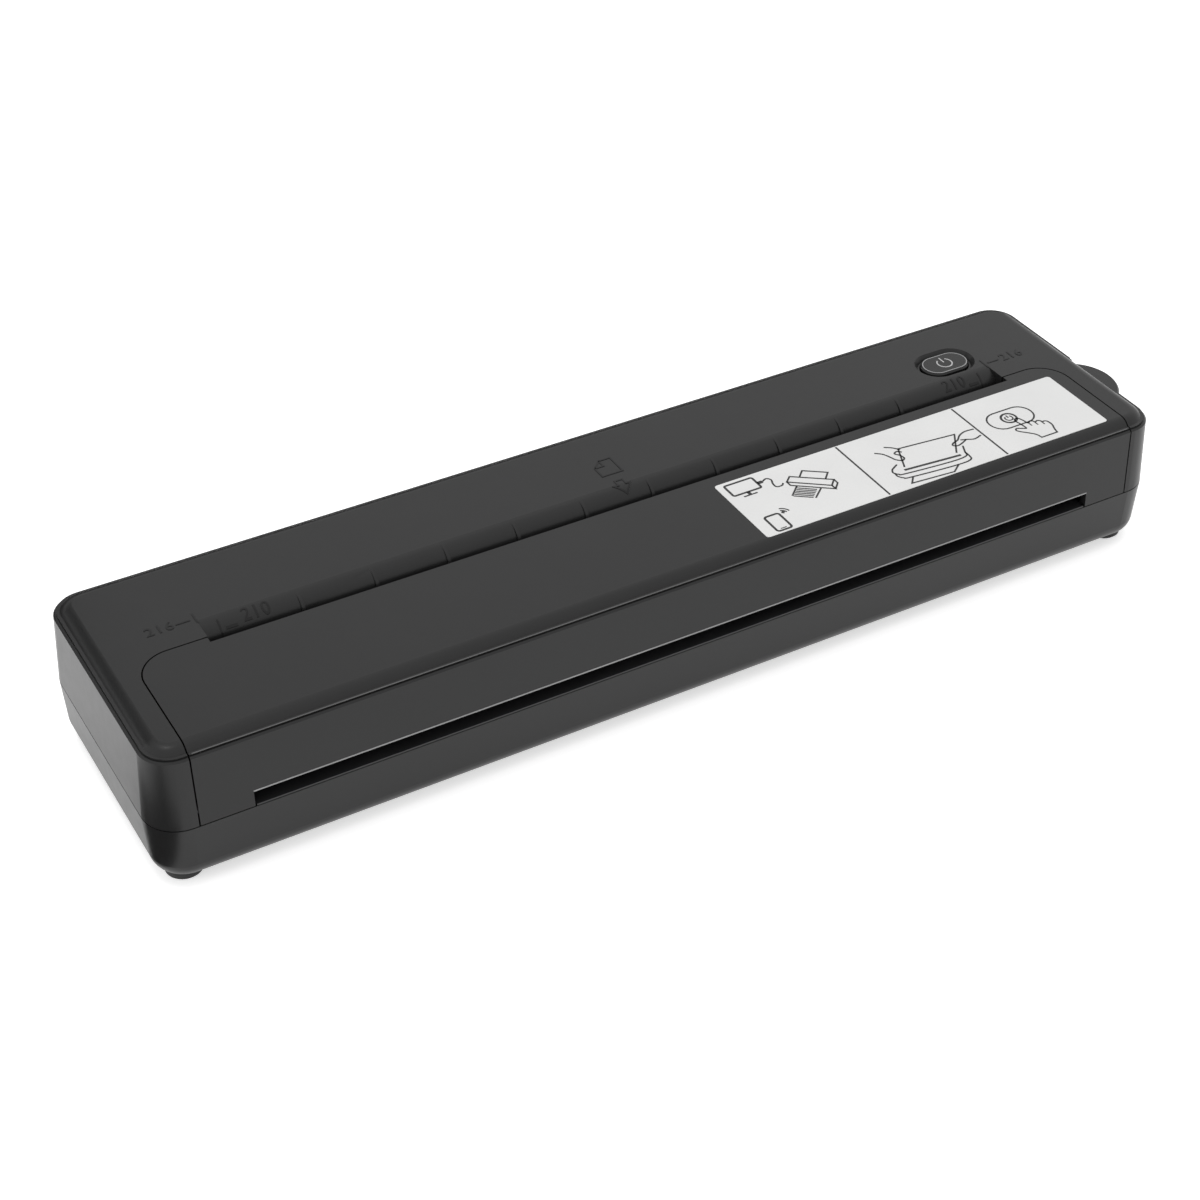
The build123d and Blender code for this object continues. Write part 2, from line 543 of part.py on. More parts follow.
def rubber_feet():
    foot = column(0, 0, (0, BASE_Z + FOOT_SEAT), FOOT_R)
    foot = chamfer(edges_at(foot, 0), FOOT_BEVEL)
    return [Pos(x, y, 0) * foot for x, y in FOOT_PLACES]


def case_screws():
    head = column(0, 0, (BASE_Z + 1.4, BASE_Z + 3.0), SCREW_HEAD_R)
    shank = column(0, 0, (BASE_Z + 3.0, SEAM_Z + 4.0), SCREW_R - 0.05)
    return [Pos(x, y, 0) * (head + shank) for x, y in SCREW_PLACES]


# ---------------------------------------------------------------- cover
def front_cover():
    cover = (housing_outside() - housing_inside()) & cover_region(-COVER_GAP / 2)
    cover -= block((-BODY_LENGTH, BODY_LENGTH), (-BODY_DEPTH, BODY_DEPTH), (0, SEAM_Z + SEAM_GAP))
    slot_x = (-SLOT_HALF_LENGTH, SLOT_HALF_LENGTH)
    cover -= block(slot_x, (-BODY_DEPTH, 0), (0, SLOT_TOP_Z))
    face_y = FRONT_Y + SLOT_HEIGHT * math.tan(math.radians(SHELL_DRAFT))
    cover -= across(polygon((face_y - 1, SLOT_TOP_Z - 1), (face_y + SLOT_CHAMFER, SLOT_TOP_Z - 1),
                            (face_y + SLOT_CHAMFER, SLOT_TOP_Z), (face_y, SLOT_TOP_Z + SLOT_CHAMFER),
                            (face_y - 1, SLOT_TOP_Z + SLOT_CHAMFER)), slot_x)
    # end skirts
    skirt_x = (COVER_HALF_LENGTH - COVER_GAP / 2 - 1.6, COVER_HALF_LENGTH - COVER_GAP / 2)
    skirt = block(skirt_x, (HINGE_Y, COVER_REAR_Y - COVER_CORNER_R), (ROOF_Z - 4.6, ROOF_Z + 0.5))
    cover += mirrored(skirt)
    # hinge barrels
    barrel_x = (SLOT_HALF_LENGTH + 2.2, COVER_HALF_LENGTH - COVER_GAP / 2)
    barrel = rod(barrel_x, HINGE_Y, HINGE_Z, HINGE_BARREL_R)
    barrel += block(barrel_x, (FRONT_Y + WALL / 2 + 0.3, HINGE_Y), (HINGE_Z, HINGE_Z + HINGE_BARREL_R + 1))
    strut = polygon((HINGE_Y, HINGE_Z), (HINGE_Y + HINGE_BARREL_R, HINGE_Z),
                    (FRONT_Y + 2.6, HINGE_Z + 9), (FRONT_Y + 1.6, HINGE_Z + 9))
    barrel += across(strut, barrel_x)
    cover += mirrored(barrel)
    cover -= mirrored(rod((PIN_START_X - 0.4, barrel_x[1] + 1), HINGE_Y, HINGE_Z, HINGE_PIN_R + RUN_CLEAR))
    # platen brackets
    top = ROOF_Z + 0.5
    for x in BRACKETS_X:
        low = PLATEN_Z - BUSHING_R - BRACKET_RIM
        bracket = across(polygon((PLATEN_Y - 6.2, top), (PLATEN_Y - 6.2, PLATEN_Z), (PLATEN_Y - 3.6, low),
                                 (PLATEN_Y + 3.6, low), (PLATEN_Y + 6.2, PLATEN_Z), (PLATEN_Y + 6.2, top)),
                         (x, x + BRACKET_T))
        cover += bracket - rod((x - 1, x + BRACKET_T + 1), PLATEN_Y, PLATEN_Z, BUSHING_R)
    # catches for the two latch hooks
    catch_z = SEAM_Z + CATCH_RISE
    for x in HOOKS_X:
        catch_x = (x + (HOOK_T - CATCH_T) / 2, x + (HOOK_T + CATCH_T) / 2)
        cover += block(catch_x, (CATCH_FACE_Y - CATCH_DEPTH, CATCH_FACE_Y), (catch_z, top))
        cover += block(catch_x, (CATCH_FACE_Y - 0.5, CATCH_FOOT_Y), (catch_z, catch_z + CATCH_FOOT))
    # ribs that guide the sheet to the platen and out of the slot
    behind = polygon((INLET_FRONT_Y - 0.8, top), (INLET_FRONT_Y - 0.8, RAMP_LOW_Z + 2.5),
                     (PLATEN_Y + 12.7, PLATEN_Z - 0.8), (PLATEN_Y + 8.0, PLATEN_Z - 2.8),
                     (PLATEN_Y + PLATEN_R + 0.9, PLATEN_Z - 0.8), (PLATEN_Y + PLATEN_R + 0.9, top))
    ahead = polygon((FRONT_Y + WALL + 0.2, top), (FRONT_Y + WALL + 0.2, SLOT_TOP_Z + 2),
                    (PLATEN_Y - 9.6, SLOT_TOP_Z + 1.4), (PLATEN_Y - 7.3, SLOT_TOP_Z + 2.2),
                    (PLATEN_Y - PLATEN_R - 0.9, PLATEN_Z), (PLATEN_Y - PLATEN_R - 0.9, top))
    for index in range(-4, 5):
        x = PAPER_X + 24.0 * index
        cover += across(behind, (x - 0.6, x + 0.6))
        cover += across(ahead, (x - 0.6, x + 0.6))
    return cover


def guide_label():
    outline_face = Pos(LABEL_X, LABEL_Y, TOP_Z) * RectangleRounded(LABEL_LENGTH, LABEL_WIDTH, 0.8)
    return extrude(outline_face, LABEL_T)


def hinge_pins():
    return mirrored(rod((PIN_START_X, PIN_END_X), HINGE_Y, HINGE_Z, HINGE_PIN_R))


# ---------------------------------------------------------------- paper path
def exit_guide():
    """Lower lip of the exit slot, hooked over the front wall of the base."""
    front = FRONT_Y + 0.15
    inner = FRONT_Y + WALL + 0.15
    section = polygon((front, SEAM_Z), (front, LIP_Z), (front + 5.6, LIP_Z), (HEAD_Y[0] - 3.2, LIP_Z + 0.4),
                      (HEAD_Y[0] - 0.6, CERAMIC_Z - 0.7), (HEAD_Y[0] - 0.6, CERAMIC_Z - 1.9),
                      (HEAD_Y[0] - 3.2, SEAM_Z - 1.4), (inner, SEAM_Z - 1.4), (inner, SEAM_Z))
    half = SLOT_HALF_LENGTH - LIP_END_GAP
    return across(section, (-half, half))


def lower_paper_guide():
    """Chute that leads the sheet from the ramp to the print line."""
    x = (INLET_X[0] + 0.3, INLET_X[1] - 0.3)
    t = 1.4
    low_y = HEAD_Y[1] + 0.8
    surface = [(RAMP_FACE_Y - 0.1, RAMP_LOW_Z - 0.2), (RAMP_FACE_Y - 3.2, RAMP_LOW_Z - 2.6),
               (low_y + 2.4, CERAMIC_Z + 0.9), (low_y, CERAMIC_Z)]
    under = [(low_y, CERAMIC_Z - t), (low_y + 2.8, CERAMIC_Z + 0.9 - t),
             (RAMP_FACE_Y - 2.4, RAMP_LOW_Z - 2.6 - t), (RAMP_FACE_Y + 1.2, RAMP_LOW_Z - 0.2)]
    guide = across(polygon(*surface, *under), x)
    for rib_x in (-92.0, -30.0, 56.0, 96.0):
        leg = polygon((RAMP_FACE_Y - 4.2, FLOOR_Z), (RAMP_FACE_Y - 0.6, FLOOR_Z),
                      (RAMP_FACE_Y - 0.6, RAMP_LOW_Z - 2.0), (RAMP_FACE_Y - 4.2, RAMP_LOW_Z - 4.6))
        guide += across(leg, (rib_x - 1, rib_x + 1))
    for hanger_x in (SENSOR_X[0], SENSOR_X[1] - 1.6):
        hanger = polygon((SENSOR_Y[0], SENSOR_Z), (SENSOR_Y[1], SENSOR_Z), (SENSOR_Y[1], SENSOR_Z + 3.6),
                         (SENSOR_Y[0], SENSOR_Z + 2.2))
        guide += across(hanger, (hanger_x, hanger_x + 1.6))
    return guide


def paper_sensor():
    """Reflective sensor on its own small board, hung from the chute."""
    board = block(SENSOR_X, SENSOR_Y, (SENSOR_Z - 0.8, SENSOR_Z))
    eye_y = (SENSOR_Y[0] + 0.4, SENSOR_Y[1] - 0.6)
    eye = block((SENSOR_X[0] + 4, SENSOR_X[1] - 4), eye_y, (SENSOR_Z, SENSOR_Z + 1.8))
    return board + eye


def platen_shaft():
    return rod((GEARS_X[0], BRACKETS_X[1] + BRACKET_T + 0.4), PLATEN_Y, PLATEN_Z, PLATEN_SHAFT_R)


def platen_rubber():
    roller = rod(PLATEN_X, PLATEN_Y, PLATEN_Z, PLATEN_R)
    return roller - rod((PLATEN_X[0] - 1, PLATEN_X[1] + 1), PLATEN_Y, PLATEN_Z, PLATEN_SHAFT_R)


def platen_bushings():
    bushings = []
    flanges_x = (BRACKETS_X[0] + BRACKET_T, BRACKETS_X[1] - BUSHING_FLANGE)
    for x, flange_x in zip(BRACKETS_X, flanges_x):
        ring = rod((x, x + BRACKET_T), PLATEN_Y, PLATEN_Z, BUSHING_R)
        ring += rod((flange_x, flange_x + BUSHING_FLANGE), PLATEN_Y, PLATEN_Z, BUSHING_R + 0.8)
        bore = rod((x - 3, x + BRACKET_T + 3), PLATEN_Y, PLATEN_Z, PLATEN_SHAFT_R + RUN_CLEAR)
        bushings.append(ring - bore)
    return bushings


# ---------------------------------------------------------------- print head
def head_heatsink():
    plate = block(HEAD_X, HEAD_Y, (HEATSINK_Z - HEATSINK_T, HEATSINK_Z))
    arm_top = HEATSINK_Z - HEATSINK_T + 0.5
    for x in HEAD_HOOKS_X:
        arm = across(polygon((HEAD_Y[1] - 3, arm_top), (HEAD_PIVOT_Y + 3, arm_top),
                             (HEAD_PIVOT_Y + 3, HEAD_PIVOT_Z - 3), (HEAD_PIVOT_Y - 3, HEAD_PIVOT_Z - 3)),
                     (x - 1.5, x + 1.5))
        plate += arm - rod((x - 3, x + 3), HEAD_PIVOT_Y, HEAD_PIVOT_Z, HEAD_PIVOT_R + RUN_CLEAR)
    return plate


def thermal_head():
    """Glazed ceramic strip with the raised print line."""
    y = (PLATEN_Y - CERAMIC_WIDTH / 2, PLATEN_Y + CERAMIC_WIDTH / 2)
    return block(HEAD_X, y, (HEATSINK_Z, CERAMIC_Z - 0.15)) + block(
        PLATEN_X, (PLATEN_Y - 0.6, PLATEN_Y + 0.6), (CERAMIC_Z - 0.4, CERAMIC_Z))


def head_driver_cover():
    """Black resin bead over the driver chips behind the print line."""
    y = (PLATEN_Y + CERAMIC_WIDTH / 2, HEAD_Y[1] - 0.6)
    bead = block((HEAD_X[0] + 6, HEAD_X[1] - 6), y, (HEATSINK_Z, CERAMIC_Z - 0.2))
    return bead


def head_pivot_shaft():
    return rod((HEAD_EARS_X[0] - 4, HEAD_EARS_X[-1] + 4), HEAD_PIVOT_Y, HEAD_PIVOT_Z, HEAD_PIVOT_R)


def head_springs():
    """Three bent leaf springs that press the head up."""
    low, high = SPRING_SEAT_Z, HEATSINK_Z - HEATSINK_T - LEAF_CLEAR
    front, rear = PLATEN_Y - LEAF_REACH, PLATEN_Y + LEAF_REACH
    leaf = polygon((rear, low), (front, low), (PLATEN_Y + 1, high), (PLATEN_Y + 3, high - 1),
                   (PLATEN_Y + 2.7, high - 1 - LEAF_T), (PLATEN_Y + 1, high - 1.3 * LEAF_T),
                   (front + 2.6 * LEAF_T, low + LEAF_T), (rear, low + LEAF_T))
    return [across(leaf, (x - LEAF_WIDTH / 2, x + LEAF_WIDTH / 2)) for x in SPRINGS_X]


# ---------------------------------------------------------------- gear train
def pitch_r(teeth):
    return GEAR_MODULE * teeth / 2


def gear_face(teeth, phase):
    """Involute gear outline about the origin; phase is the angle of one tooth in radians."""
    pitch = pitch_r(teeth)
    base_r = pitch * math.cos(math.radians(PRESSURE_ANGLE))
    tip_r = pitch + ADDENDUM * GEAR_MODULE
    root_r = pitch - DEDENDUM * GEAR_MODULE
    involute = lambda angle: math.tan(angle) - angle
    half = math.pi / (2 * teeth) - BACKLASH / (2 * pitch) + involute(math.radians(PRESSURE_ANGLE))
    radii = [max(base_r, root_r), (max(base_r, root_r) + tip_r) / 2, tip_r]
    flank = [(r, half - involute(math.acos(min(1.0, base_r / r)))) for r in radii]
    flank.insert(0, (root_r, flank[0][1] + 0.3 * (math.pi / teeth - flank[0][1])))
    points = []
    for tooth in range(teeth):
        centre = phase + 2 * math.pi * tooth / teeth
        for r, angle in [(r, -a) for r, a in flank] + flank[::-1]:
            points.append((r * math.cos(centre + angle), r * math.sin(centre + angle)))
    return polygon(*points)


def meshing_phase(phase, teeth, mate_teeth, direction):
    """Phase of the mate so that its gap faces the tooth of a gear; direction runs gear to mate."""
    shift = pitch_r(teeth) * (phase - direction) + math.pi * GEAR_MODULE / 2
    return direction + math.pi - shift / pitch_r(mate_teeth)


def gear(teeth, x, centre, phase, bore):
    body = across(gear_face(teeth, phase), x)
    body -= rod((x[0] - 1, x[1] + 1), 0, 0, bore)
    return Pos(0, *centre) * body


def step_from(centre, distance, angle):
    return (centre[0] + distance * math.cos(angle), centre[1] + distance * math.sin(angle))


def centre_between(first, first_distance, second, second_distance):
    """The upper of the two points at given distances from two centres."""
    dy, dz = second[0] - first[0], second[1] - first[1]
    span = math.hypot(dy, dz)
    along = (first_distance ** 2 - second_distance ** 2 + span ** 2) / (2 * span)
    aside = math.sqrt(first_distance ** 2 - along ** 2)
    return (first[0] + (along * dy - aside * dz) / span, first[1] + (along * dz + aside * dy) / span)


def angle_to(first, second):
    return math.atan2(second[1] - first[1], second[0] - first[0])


PLATEN_AXIS = (PLATEN_Y, PLATEN_Z)
MOTOR_AXIS = (MOTOR_Y, MOTOR_Z)
IDLER_AXIS = step_from(PLATEN_AXIS, pitch_r(PLATEN_TEETH + IDLER_TEETH), math.radians(IDLER_DIRECTION))
REDUCTION_AXIS = centre_between(
    IDLER_AXIS, pitch_r(IDLER_TEETH + SMALL_TEETH), MOTOR_AXIS, pitch_r(LARGE_TEETH + PINION_TEETH)
)
IDLER_PHASE = meshing_phase(0.0, PLATEN_TEETH, IDLER_TEETH, angle_to(PLATEN_AXIS, IDLER_AXIS))
SMALL_PHASE = meshing_phase(IDLER_PHASE, IDLER_TEETH, SMALL_TEETH, angle_to(IDLER_AXIS, REDUCTION_AXIS))
PINION_PHASE = meshing_phase(0.0, LARGE_TEETH, PINION_TEETH, angle_to(REDUCTION_AXIS, MOTOR_AXIS))


def platen_gear():
    return gear(PLATEN_TEETH, GEARS_X, PLATEN_AXIS, 0.0, PLATEN_SHAFT_R)


def idler_gear():
    return gear(IDLER_TEETH, GEARS_X, IDLER_AXIS, IDLER_PHASE, GEAR_POST_R + RUN_CLEAR)


def reduction_gear():
    small = gear(SMALL_TEETH, GEARS_X, REDUCTION_AXIS, SMALL_PHASE, GEAR_POST_R + RUN_CLEAR)
    hub = rod((LARGE_X[1], GEARS_X[0]), *REDUCTION_AXIS, 3.0)
    hub -= rod((LARGE_X[0], GEARS_X[1]), *REDUCTION_AXIS, GEAR_POST_R + RUN_CLEAR)
    large = gear(LARGE_TEETH, LARGE_X, REDUCTION_AXIS, 0.0, GEAR_POST_R + RUN_CLEAR)
    ring = disc(*REDUCTION_AXIS, 8.4) - disc(*REDUCTION_AXIS, 4.0)
    groove = across(ring, (LARGE_X[0] - 1, LARGE_X[0] + 0.8))
    return small + hub + large - groove


def motor_pinion():
    pinion_x = (LARGE_X[0] - 0.2, LARGE_X[1] + 0.1)
    pinion = gear(PINION_TEETH, pinion_x, MOTOR_AXIS, PINION_PHASE, MOTOR_SHAFT_R)
    return pinion


def motor_shaft():
    return rod((LARGE_X[0] - 0.2, PLATES_X[0] + PLATE_T + 3.0), *MOTOR_AXIS, MOTOR_SHAFT_R)


def stepper_motor():
    face = PLATES_X[0] + PLATE_T
    can = rod((face, face + MOTOR_LENGTH), *MOTOR_AXIS, MOTOR_R)
    can = chamfer(can.edges().filter_by(GeomType.CIRCLE), 0.4)
    collar = rod((PLATES_X[0], face), *MOTOR_AXIS, MOTOR_COLLAR_R)
    return can + collar - rod((PLATES_X[0] - 1, face + 3.2), *MOTOR_AXIS, MOTOR_SHAFT_R + RUN_CLEAR)


def gear_posts():
    root = PLATES_X[0] + PLATE_T
    return [rod((GEARS_X[0], root), *IDLER_AXIS, GEAR_POST_R),
            rod((LARGE_X[0] - 0.4, root), *REDUCTION_AXIS, GEAR_POST_R)]


def gear_plate():
    """Steel side plate that carries motor, gears and the left end of the latch shaft."""
    x = (PLATES_X[0], PLATES_X[0] + PLATE_T)
    front_y, rear_y = PLATEN_Y - PLATE_EDGE, MOTOR_Y + MOTOR_R + 1
    face = polygon((front_y, FLOOR_Z), (rear_y, FLOOR_Z), (rear_y, MOTOR_Z + 4),
                   (LATCH_Y + 5, LATCH_Z + PLATE_EDGE), (LATCH_Y - 5, LATCH_Z + PLATE_EDGE),
                   (IDLER_AXIS[0] + 4, GEAR_PLATE_FRONT_Z), (front_y, GEAR_PLATE_FRONT_Z))
    face -= disc(*IDLER_AXIS, GEAR_POST_R)
    face -= disc(*REDUCTION_AXIS, GEAR_POST_R)
    face -= disc(*MOTOR_AXIS, MOTOR_COLLAR_R)
    face -= disc(LATCH_Y, LATCH_Z, LATCH_SHAFT_R + RUN_CLEAR)
    foot_y = (LATCH_Y - 13, LATCH_Y - 6)
    return across(face, x) + block((x[0], x[1] + PLATE_FOOT), foot_y, (FLOOR_Z, FLOOR_Z + PLATE_T))


def latch_plate():
    """Steel side plate that carries the right end of the latch shaft."""
    x = (PLATES_X[1], PLATES_X[1] + PLATE_T)
    top = LATCH_Z + PLATE_EDGE
    face = polygon((LATCH_Y - 7, FLOOR_Z), (LATCH_Y + 3.6, FLOOR_Z), (LATCH_Y + 3.6, top),
                   (LATCH_Y - 4, top), (LATCH_Y - 7, LATCH_Z - 4))
    face -= disc(LATCH_Y, LATCH_Z, LATCH_SHAFT_R + RUN_CLEAR)
    foot = block((x[0] - PLATE_FOOT, x[1]), (LATCH_Y - 6, LATCH_Y), (FLOOR_Z, FLOOR_Z + PLATE_T))
    return across(face, x) + foot


# ---------------------------------------------------------------- latch
def latch_shaft():
    return rod((PLATES_X[0] - 0.2, LEVER_X[1] + 0.3), LATCH_Y, LATCH_Z, LATCH_SHAFT_R)


def latch_hooks():
    foot_top = SEAM_Z + CATCH_RISE + CATCH_FOOT
    face = polygon((LATCH_Y - HOOK_BOSS_R, LATCH_Z), (LATCH_Y, LATCH_Z + HOOK_BOSS_R),
                   (HOOK_FACE_Y + 2.0, foot_top + 0.5), (HOOK_FACE_Y + 2.0, foot_top + 2.2),
                   (HOOK_FACE_Y, foot_top + 2.2), (CATCH_FOOT_Y - HOOK_REACH, foot_top + 0.9),
                   (CATCH_FOOT_Y - HOOK_REACH, foot_top + HOOK_GAP), (HOOK_FACE_Y, foot_top + HOOK_GAP),
                   (HOOK_FACE_Y, foot_top - 3))
    face += disc(LATCH_Y, LATCH_Z, HOOK_BOSS_R)
    face -= disc(LATCH_Y, LATCH_Z, LATCH_SHAFT_R)
    return [across(face, (x, x + HOOK_T)) for x in HOOKS_X]


def release_lever():
    """Arm on the latch shaft with a half-round finger tab outside the right end wall."""
    top = RIM_Z - TAB_DROP
    low = TAB_FLOOR_Z
    web_top = low + 1.4
    arm = polygon((LATCH_Y - HOOK_BOSS_R, LATCH_Z - 1), (LATCH_Y + HOOK_BOSS_R, LATCH_Z),
                  (TAB_Y + 5.6, web_top), (TAB_Y - 5.2, web_top), (TAB_Y - 5.2, low))
    arm += disc(LATCH_Y, LATCH_Z, HOOK_BOSS_R)
    arm -= disc(LATCH_Y, LATCH_Z, LATCH_SHAFT_R)
    lever = across(arm, LEVER_X)
    web = block((LEVER_X[0], TAB_ROOT_X + 1), (TAB_Y - 5.2, TAB_Y + 5.2), (low, web_top))
    tab = column(TAB_CENTRE_X, TAB_Y, (low, top), TAB_R)
    tab = chamfer(edges_at(tab, top) + edges_at(tab, low), 0.4)
    tab_y = (TAB_Y - TAB_HALF_WIDTH, TAB_Y + TAB_HALF_WIDTH)
    tab &= block((TAB_ROOT_X + 0.25, BODY_LENGTH), tab_y, (0, TOP_Z))
    return lever + web + tab


def coil(radius, wire, turns, length):
    """Coil spring along +Z from the origin, of square wire."""
    pitch = (length - wire) / turns
    path = Pos(0, 0, wire / 2) * Helix(pitch, length - wire, radius)
    section = Plane(origin=path @ 0, z_dir=path % 0) * Rectangle(wire, wire)
    return sweep(section, path=path, is_frenet=True)


def latch_spring():
    x = PLATES_X[1] + PLATE_T + 0.4
    spring = coil(LATCH_SHAFT_R + 1.0, LATCH_COIL_WIRE, LATCH_COIL_TURNS, 4.0)
    return Pos(x, LATCH_Y, LATCH_Z) * Rot(0, 90, 0) * spring


# ---------------------------------------------------------------- power button and electronics
def power_button():
    top = TOP_Z - 0.1
    low = TOP_Z - BUTTON_HEIGHT
    cap = extrude(stadium(BUTTON_LENGTH, BUTTON_WIDTH, low), top - low)
    cap = chamfer(edges_at(cap, top), 0.5)
    flange = extrude(stadium(BUTTON_LENGTH + 2.2, BUTTON_WIDTH + 2.2, low), 1.0)
    return cap + flange


def button_board():
    """Small board screwed to two posts of the upper shell."""
    z = (BUTTON_BOARD_TOP - BOARD_T / 2, BUTTON_BOARD_TOP)
    board = block((BUTTON_POSTS_X[0] - 3, BUTTON_POSTS_X[1] + 3), (BUTTON_Y - 5, BUTTON_Y + 5), z)
    for x in BUTTON_POSTS_X:
        board -= column(x, BUTTON_Y, (z[0] - 1, z[1] + 1), 1.1)
    return board


def tact_switch():
    low = BUTTON_BOARD_TOP
    plunger_top = TOP_Z - BUTTON_HEIGHT - BUTTON_TRAVEL - 0.05
    body = block((BUTTON_X - 3, BUTTON_X + 3), (BUTTON_Y - 3, BUTTON_Y + 3), (low, plunger_top - 1.2))
    return body + column(BUTTON_X, BUTTON_Y, (plunger_top - 1.3, plunger_top), 1.7)


def board_screws():
    screws = []
    places = [(x, y, BOARD_Z + BOARD_T, 1) for x, y in BOARD_POSTS]
    places += [(x, BUTTON_Y, BUTTON_BOARD_TOP - BOARD_T / 2, -1) for x in BUTTON_POSTS_X]
    for x, y, z, up in places:
        head = column(x, y, sorted((z, z + up * 1.0)), 1.8)
        shank = column(x, y, sorted((z, z - up * 5.0)), 0.75)
        screws.append(head + shank)
    return screws


def main_board():
    board = block(BOARD_X, BOARD_Y, (BOARD_Z, BOARD_Z + BOARD_T))
    screw_x, screw_y = SCREW_PLACES[-1]
    corner_x = (screw_x - SCREW_BOSS_R - 1, BOARD_X[1] + 1)
    corner_y = (screw_y - SCREW_BOSS_R - 0.6, BOARD_Y[1] + 1)
    board -= block(corner_x, corner_y, (BOARD_Z - 1, BOARD_Z + BOARD_T + 1))
    for x, y in BOARD_POSTS:
        board -= column(x, y, (BOARD_Z - 1, BOARD_Z + BOARD_T + 1), 1.0)
    return board


def board_components():
    top = BOARD_Z + BOARD_T
    left, rear, middle = BOARD_X[0], BOARD_Y[1], REAR_BAY_Y
    chips = [
        ((left + 12, left + 22), (rear - 15.6, rear - 5.6), 1.2),
        ((left + 27, left + 33), (rear - 7.6, rear - 1.6), 1.6),
        ((left + 26, left + 34), (middle - 5.9, middle + 0.1), 3.0),
        ((left + 36.5, left + 39.5), (rear - 13.6, rear - 6.6), 2.4),
        ((left + 46, left + 52), (middle - 7.4, middle - 3.9), 1.4),
    ]
    return [block(x, y, (top, top + height)) for x, y, height in chips]


def usb_c_port():
    """Receptacle shell with its contact tongue, on the edge of the main board."""
    mouth_x = END_X - 0.6
    start = Pos(mouth_x - USB_LENGTH, USB_Y, USB_Z) * Rot(0, 90, 0) * Rot(0, 0, 90)
    can = extrude(SlotOverall(USB_WIDTH, USB_HEIGHT), USB_LENGTH)
    can -= Pos(0, 0, 1.0) * extrude(SlotOverall(USB_WIDTH - 0.6, USB_HEIGHT - 0.6), USB_LENGTH)
    tongue = Pos(0, 0, 3.2) * Box(6.7, 0.7, 4.6)
    return start * (can + tongue)


def battery_pack():
    """Two 18650 cells end to end in one sleeve."""
    x = (BATTERY_X - CELL_LENGTH, BATTERY_X + CELL_LENGTH)
    pack = rod(x, BATTERY_Y, BATTERY_Z, CELL_R)
    return chamfer(pack.edges().filter_by(GeomType.CIRCLE), 0.8)


def head_ribbon():
    """Flat flexible cable from the head to the main board."""
    y0, y1 = PLATEN_Y + 3.0, BOARD_Y[0] + 2.6
    top, low, end = HEATSINK_Z - HEATSINK_T - 0.5, FLOOR_Z + 2.0, BOARD_Z
    t = RIBBON_T
    face = polygon((y0, top), (y0, low), (y1 + t, low), (y1 + t, end),
                   (y1, end), (y1, low + t), (y0 + t, low + t), (y0 + t, top))
    return across(face, (RIBBON_X - RIBBON_WIDTH / 2, RIBBON_X + RIBBON_WIDTH / 2))


# ---------------------------------------------------------------- write every piece
PIECES = [
    base, upper_shell, front_cover, rubber_feet, case_screws, guide_label, hinge_pins, exit_guide,
    lower_paper_guide, paper_sensor, platen_shaft, platen_rubber, platen_bushings, head_heatsink,
    thermal_head, head_driver_cover, head_pivot_shaft, head_springs, platen_gear, idler_gear,
    reduction_gear, motor_pinion, motor_shaft, stepper_motor, gear_posts, gear_plate, latch_plate,
    latch_shaft, latch_hooks, release_lever, latch_spring, power_button, button_board, tact_switch,
    board_screws, main_board, board_components, usb_c_port, battery_pack, head_ribbon,
]


def main():
    os.makedirs("parts", exist_ok=True)
    for piece in PIECES:
        made = piece()
        parts = made if isinstance(made, list) else [made]
        solids = [Pos(-MIDDLE_X, 0, 0) * Solid(solid.wrapped) for part in parts for solid in part.solids()]
        shape = Compound(children=solids) if len(solids) > 1 else solids[0]
        export_step(shape, f"parts/{piece.__name__}.step")


main()
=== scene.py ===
"""Dress the portable A4 thermal printer.

Finishes, moulded marks, label art, small fittings, floor and lights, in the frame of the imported
model. Lengths are in metres; a heading or a comment says where they are in millimetres. MM turns
millimetres into metres.
"""
import json
import math

import bmesh
import bpy
from mathutils import Matrix, Vector


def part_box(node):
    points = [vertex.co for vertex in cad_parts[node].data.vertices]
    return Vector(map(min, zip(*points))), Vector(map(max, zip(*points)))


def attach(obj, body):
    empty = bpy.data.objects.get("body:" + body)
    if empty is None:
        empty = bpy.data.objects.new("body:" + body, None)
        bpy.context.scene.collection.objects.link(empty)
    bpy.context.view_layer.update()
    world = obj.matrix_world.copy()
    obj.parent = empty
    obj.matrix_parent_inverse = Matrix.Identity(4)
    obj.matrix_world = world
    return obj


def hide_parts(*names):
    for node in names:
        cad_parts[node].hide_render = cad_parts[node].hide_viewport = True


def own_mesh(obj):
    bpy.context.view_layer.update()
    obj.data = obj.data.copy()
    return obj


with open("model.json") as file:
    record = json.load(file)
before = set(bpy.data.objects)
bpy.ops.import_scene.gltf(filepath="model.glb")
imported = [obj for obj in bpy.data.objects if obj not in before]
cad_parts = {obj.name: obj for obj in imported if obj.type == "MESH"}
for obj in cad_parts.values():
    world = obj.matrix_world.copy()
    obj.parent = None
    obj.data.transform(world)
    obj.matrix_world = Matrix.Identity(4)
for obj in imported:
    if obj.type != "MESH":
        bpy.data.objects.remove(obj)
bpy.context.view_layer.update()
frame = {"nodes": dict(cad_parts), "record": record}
MM = 0.001

# ---------------- places read from the frame
BASE_LOW, BASE_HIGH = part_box("base")
LABEL_LOW, LABEL_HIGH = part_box("guide_label")
BUTTON_LOW, BUTTON_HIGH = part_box("power_button")
BODY_X = (BASE_LOW.x + BASE_HIGH.x) / 2  # middle of the body, beside the origin
TOP_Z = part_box("upper_shell")[1].z

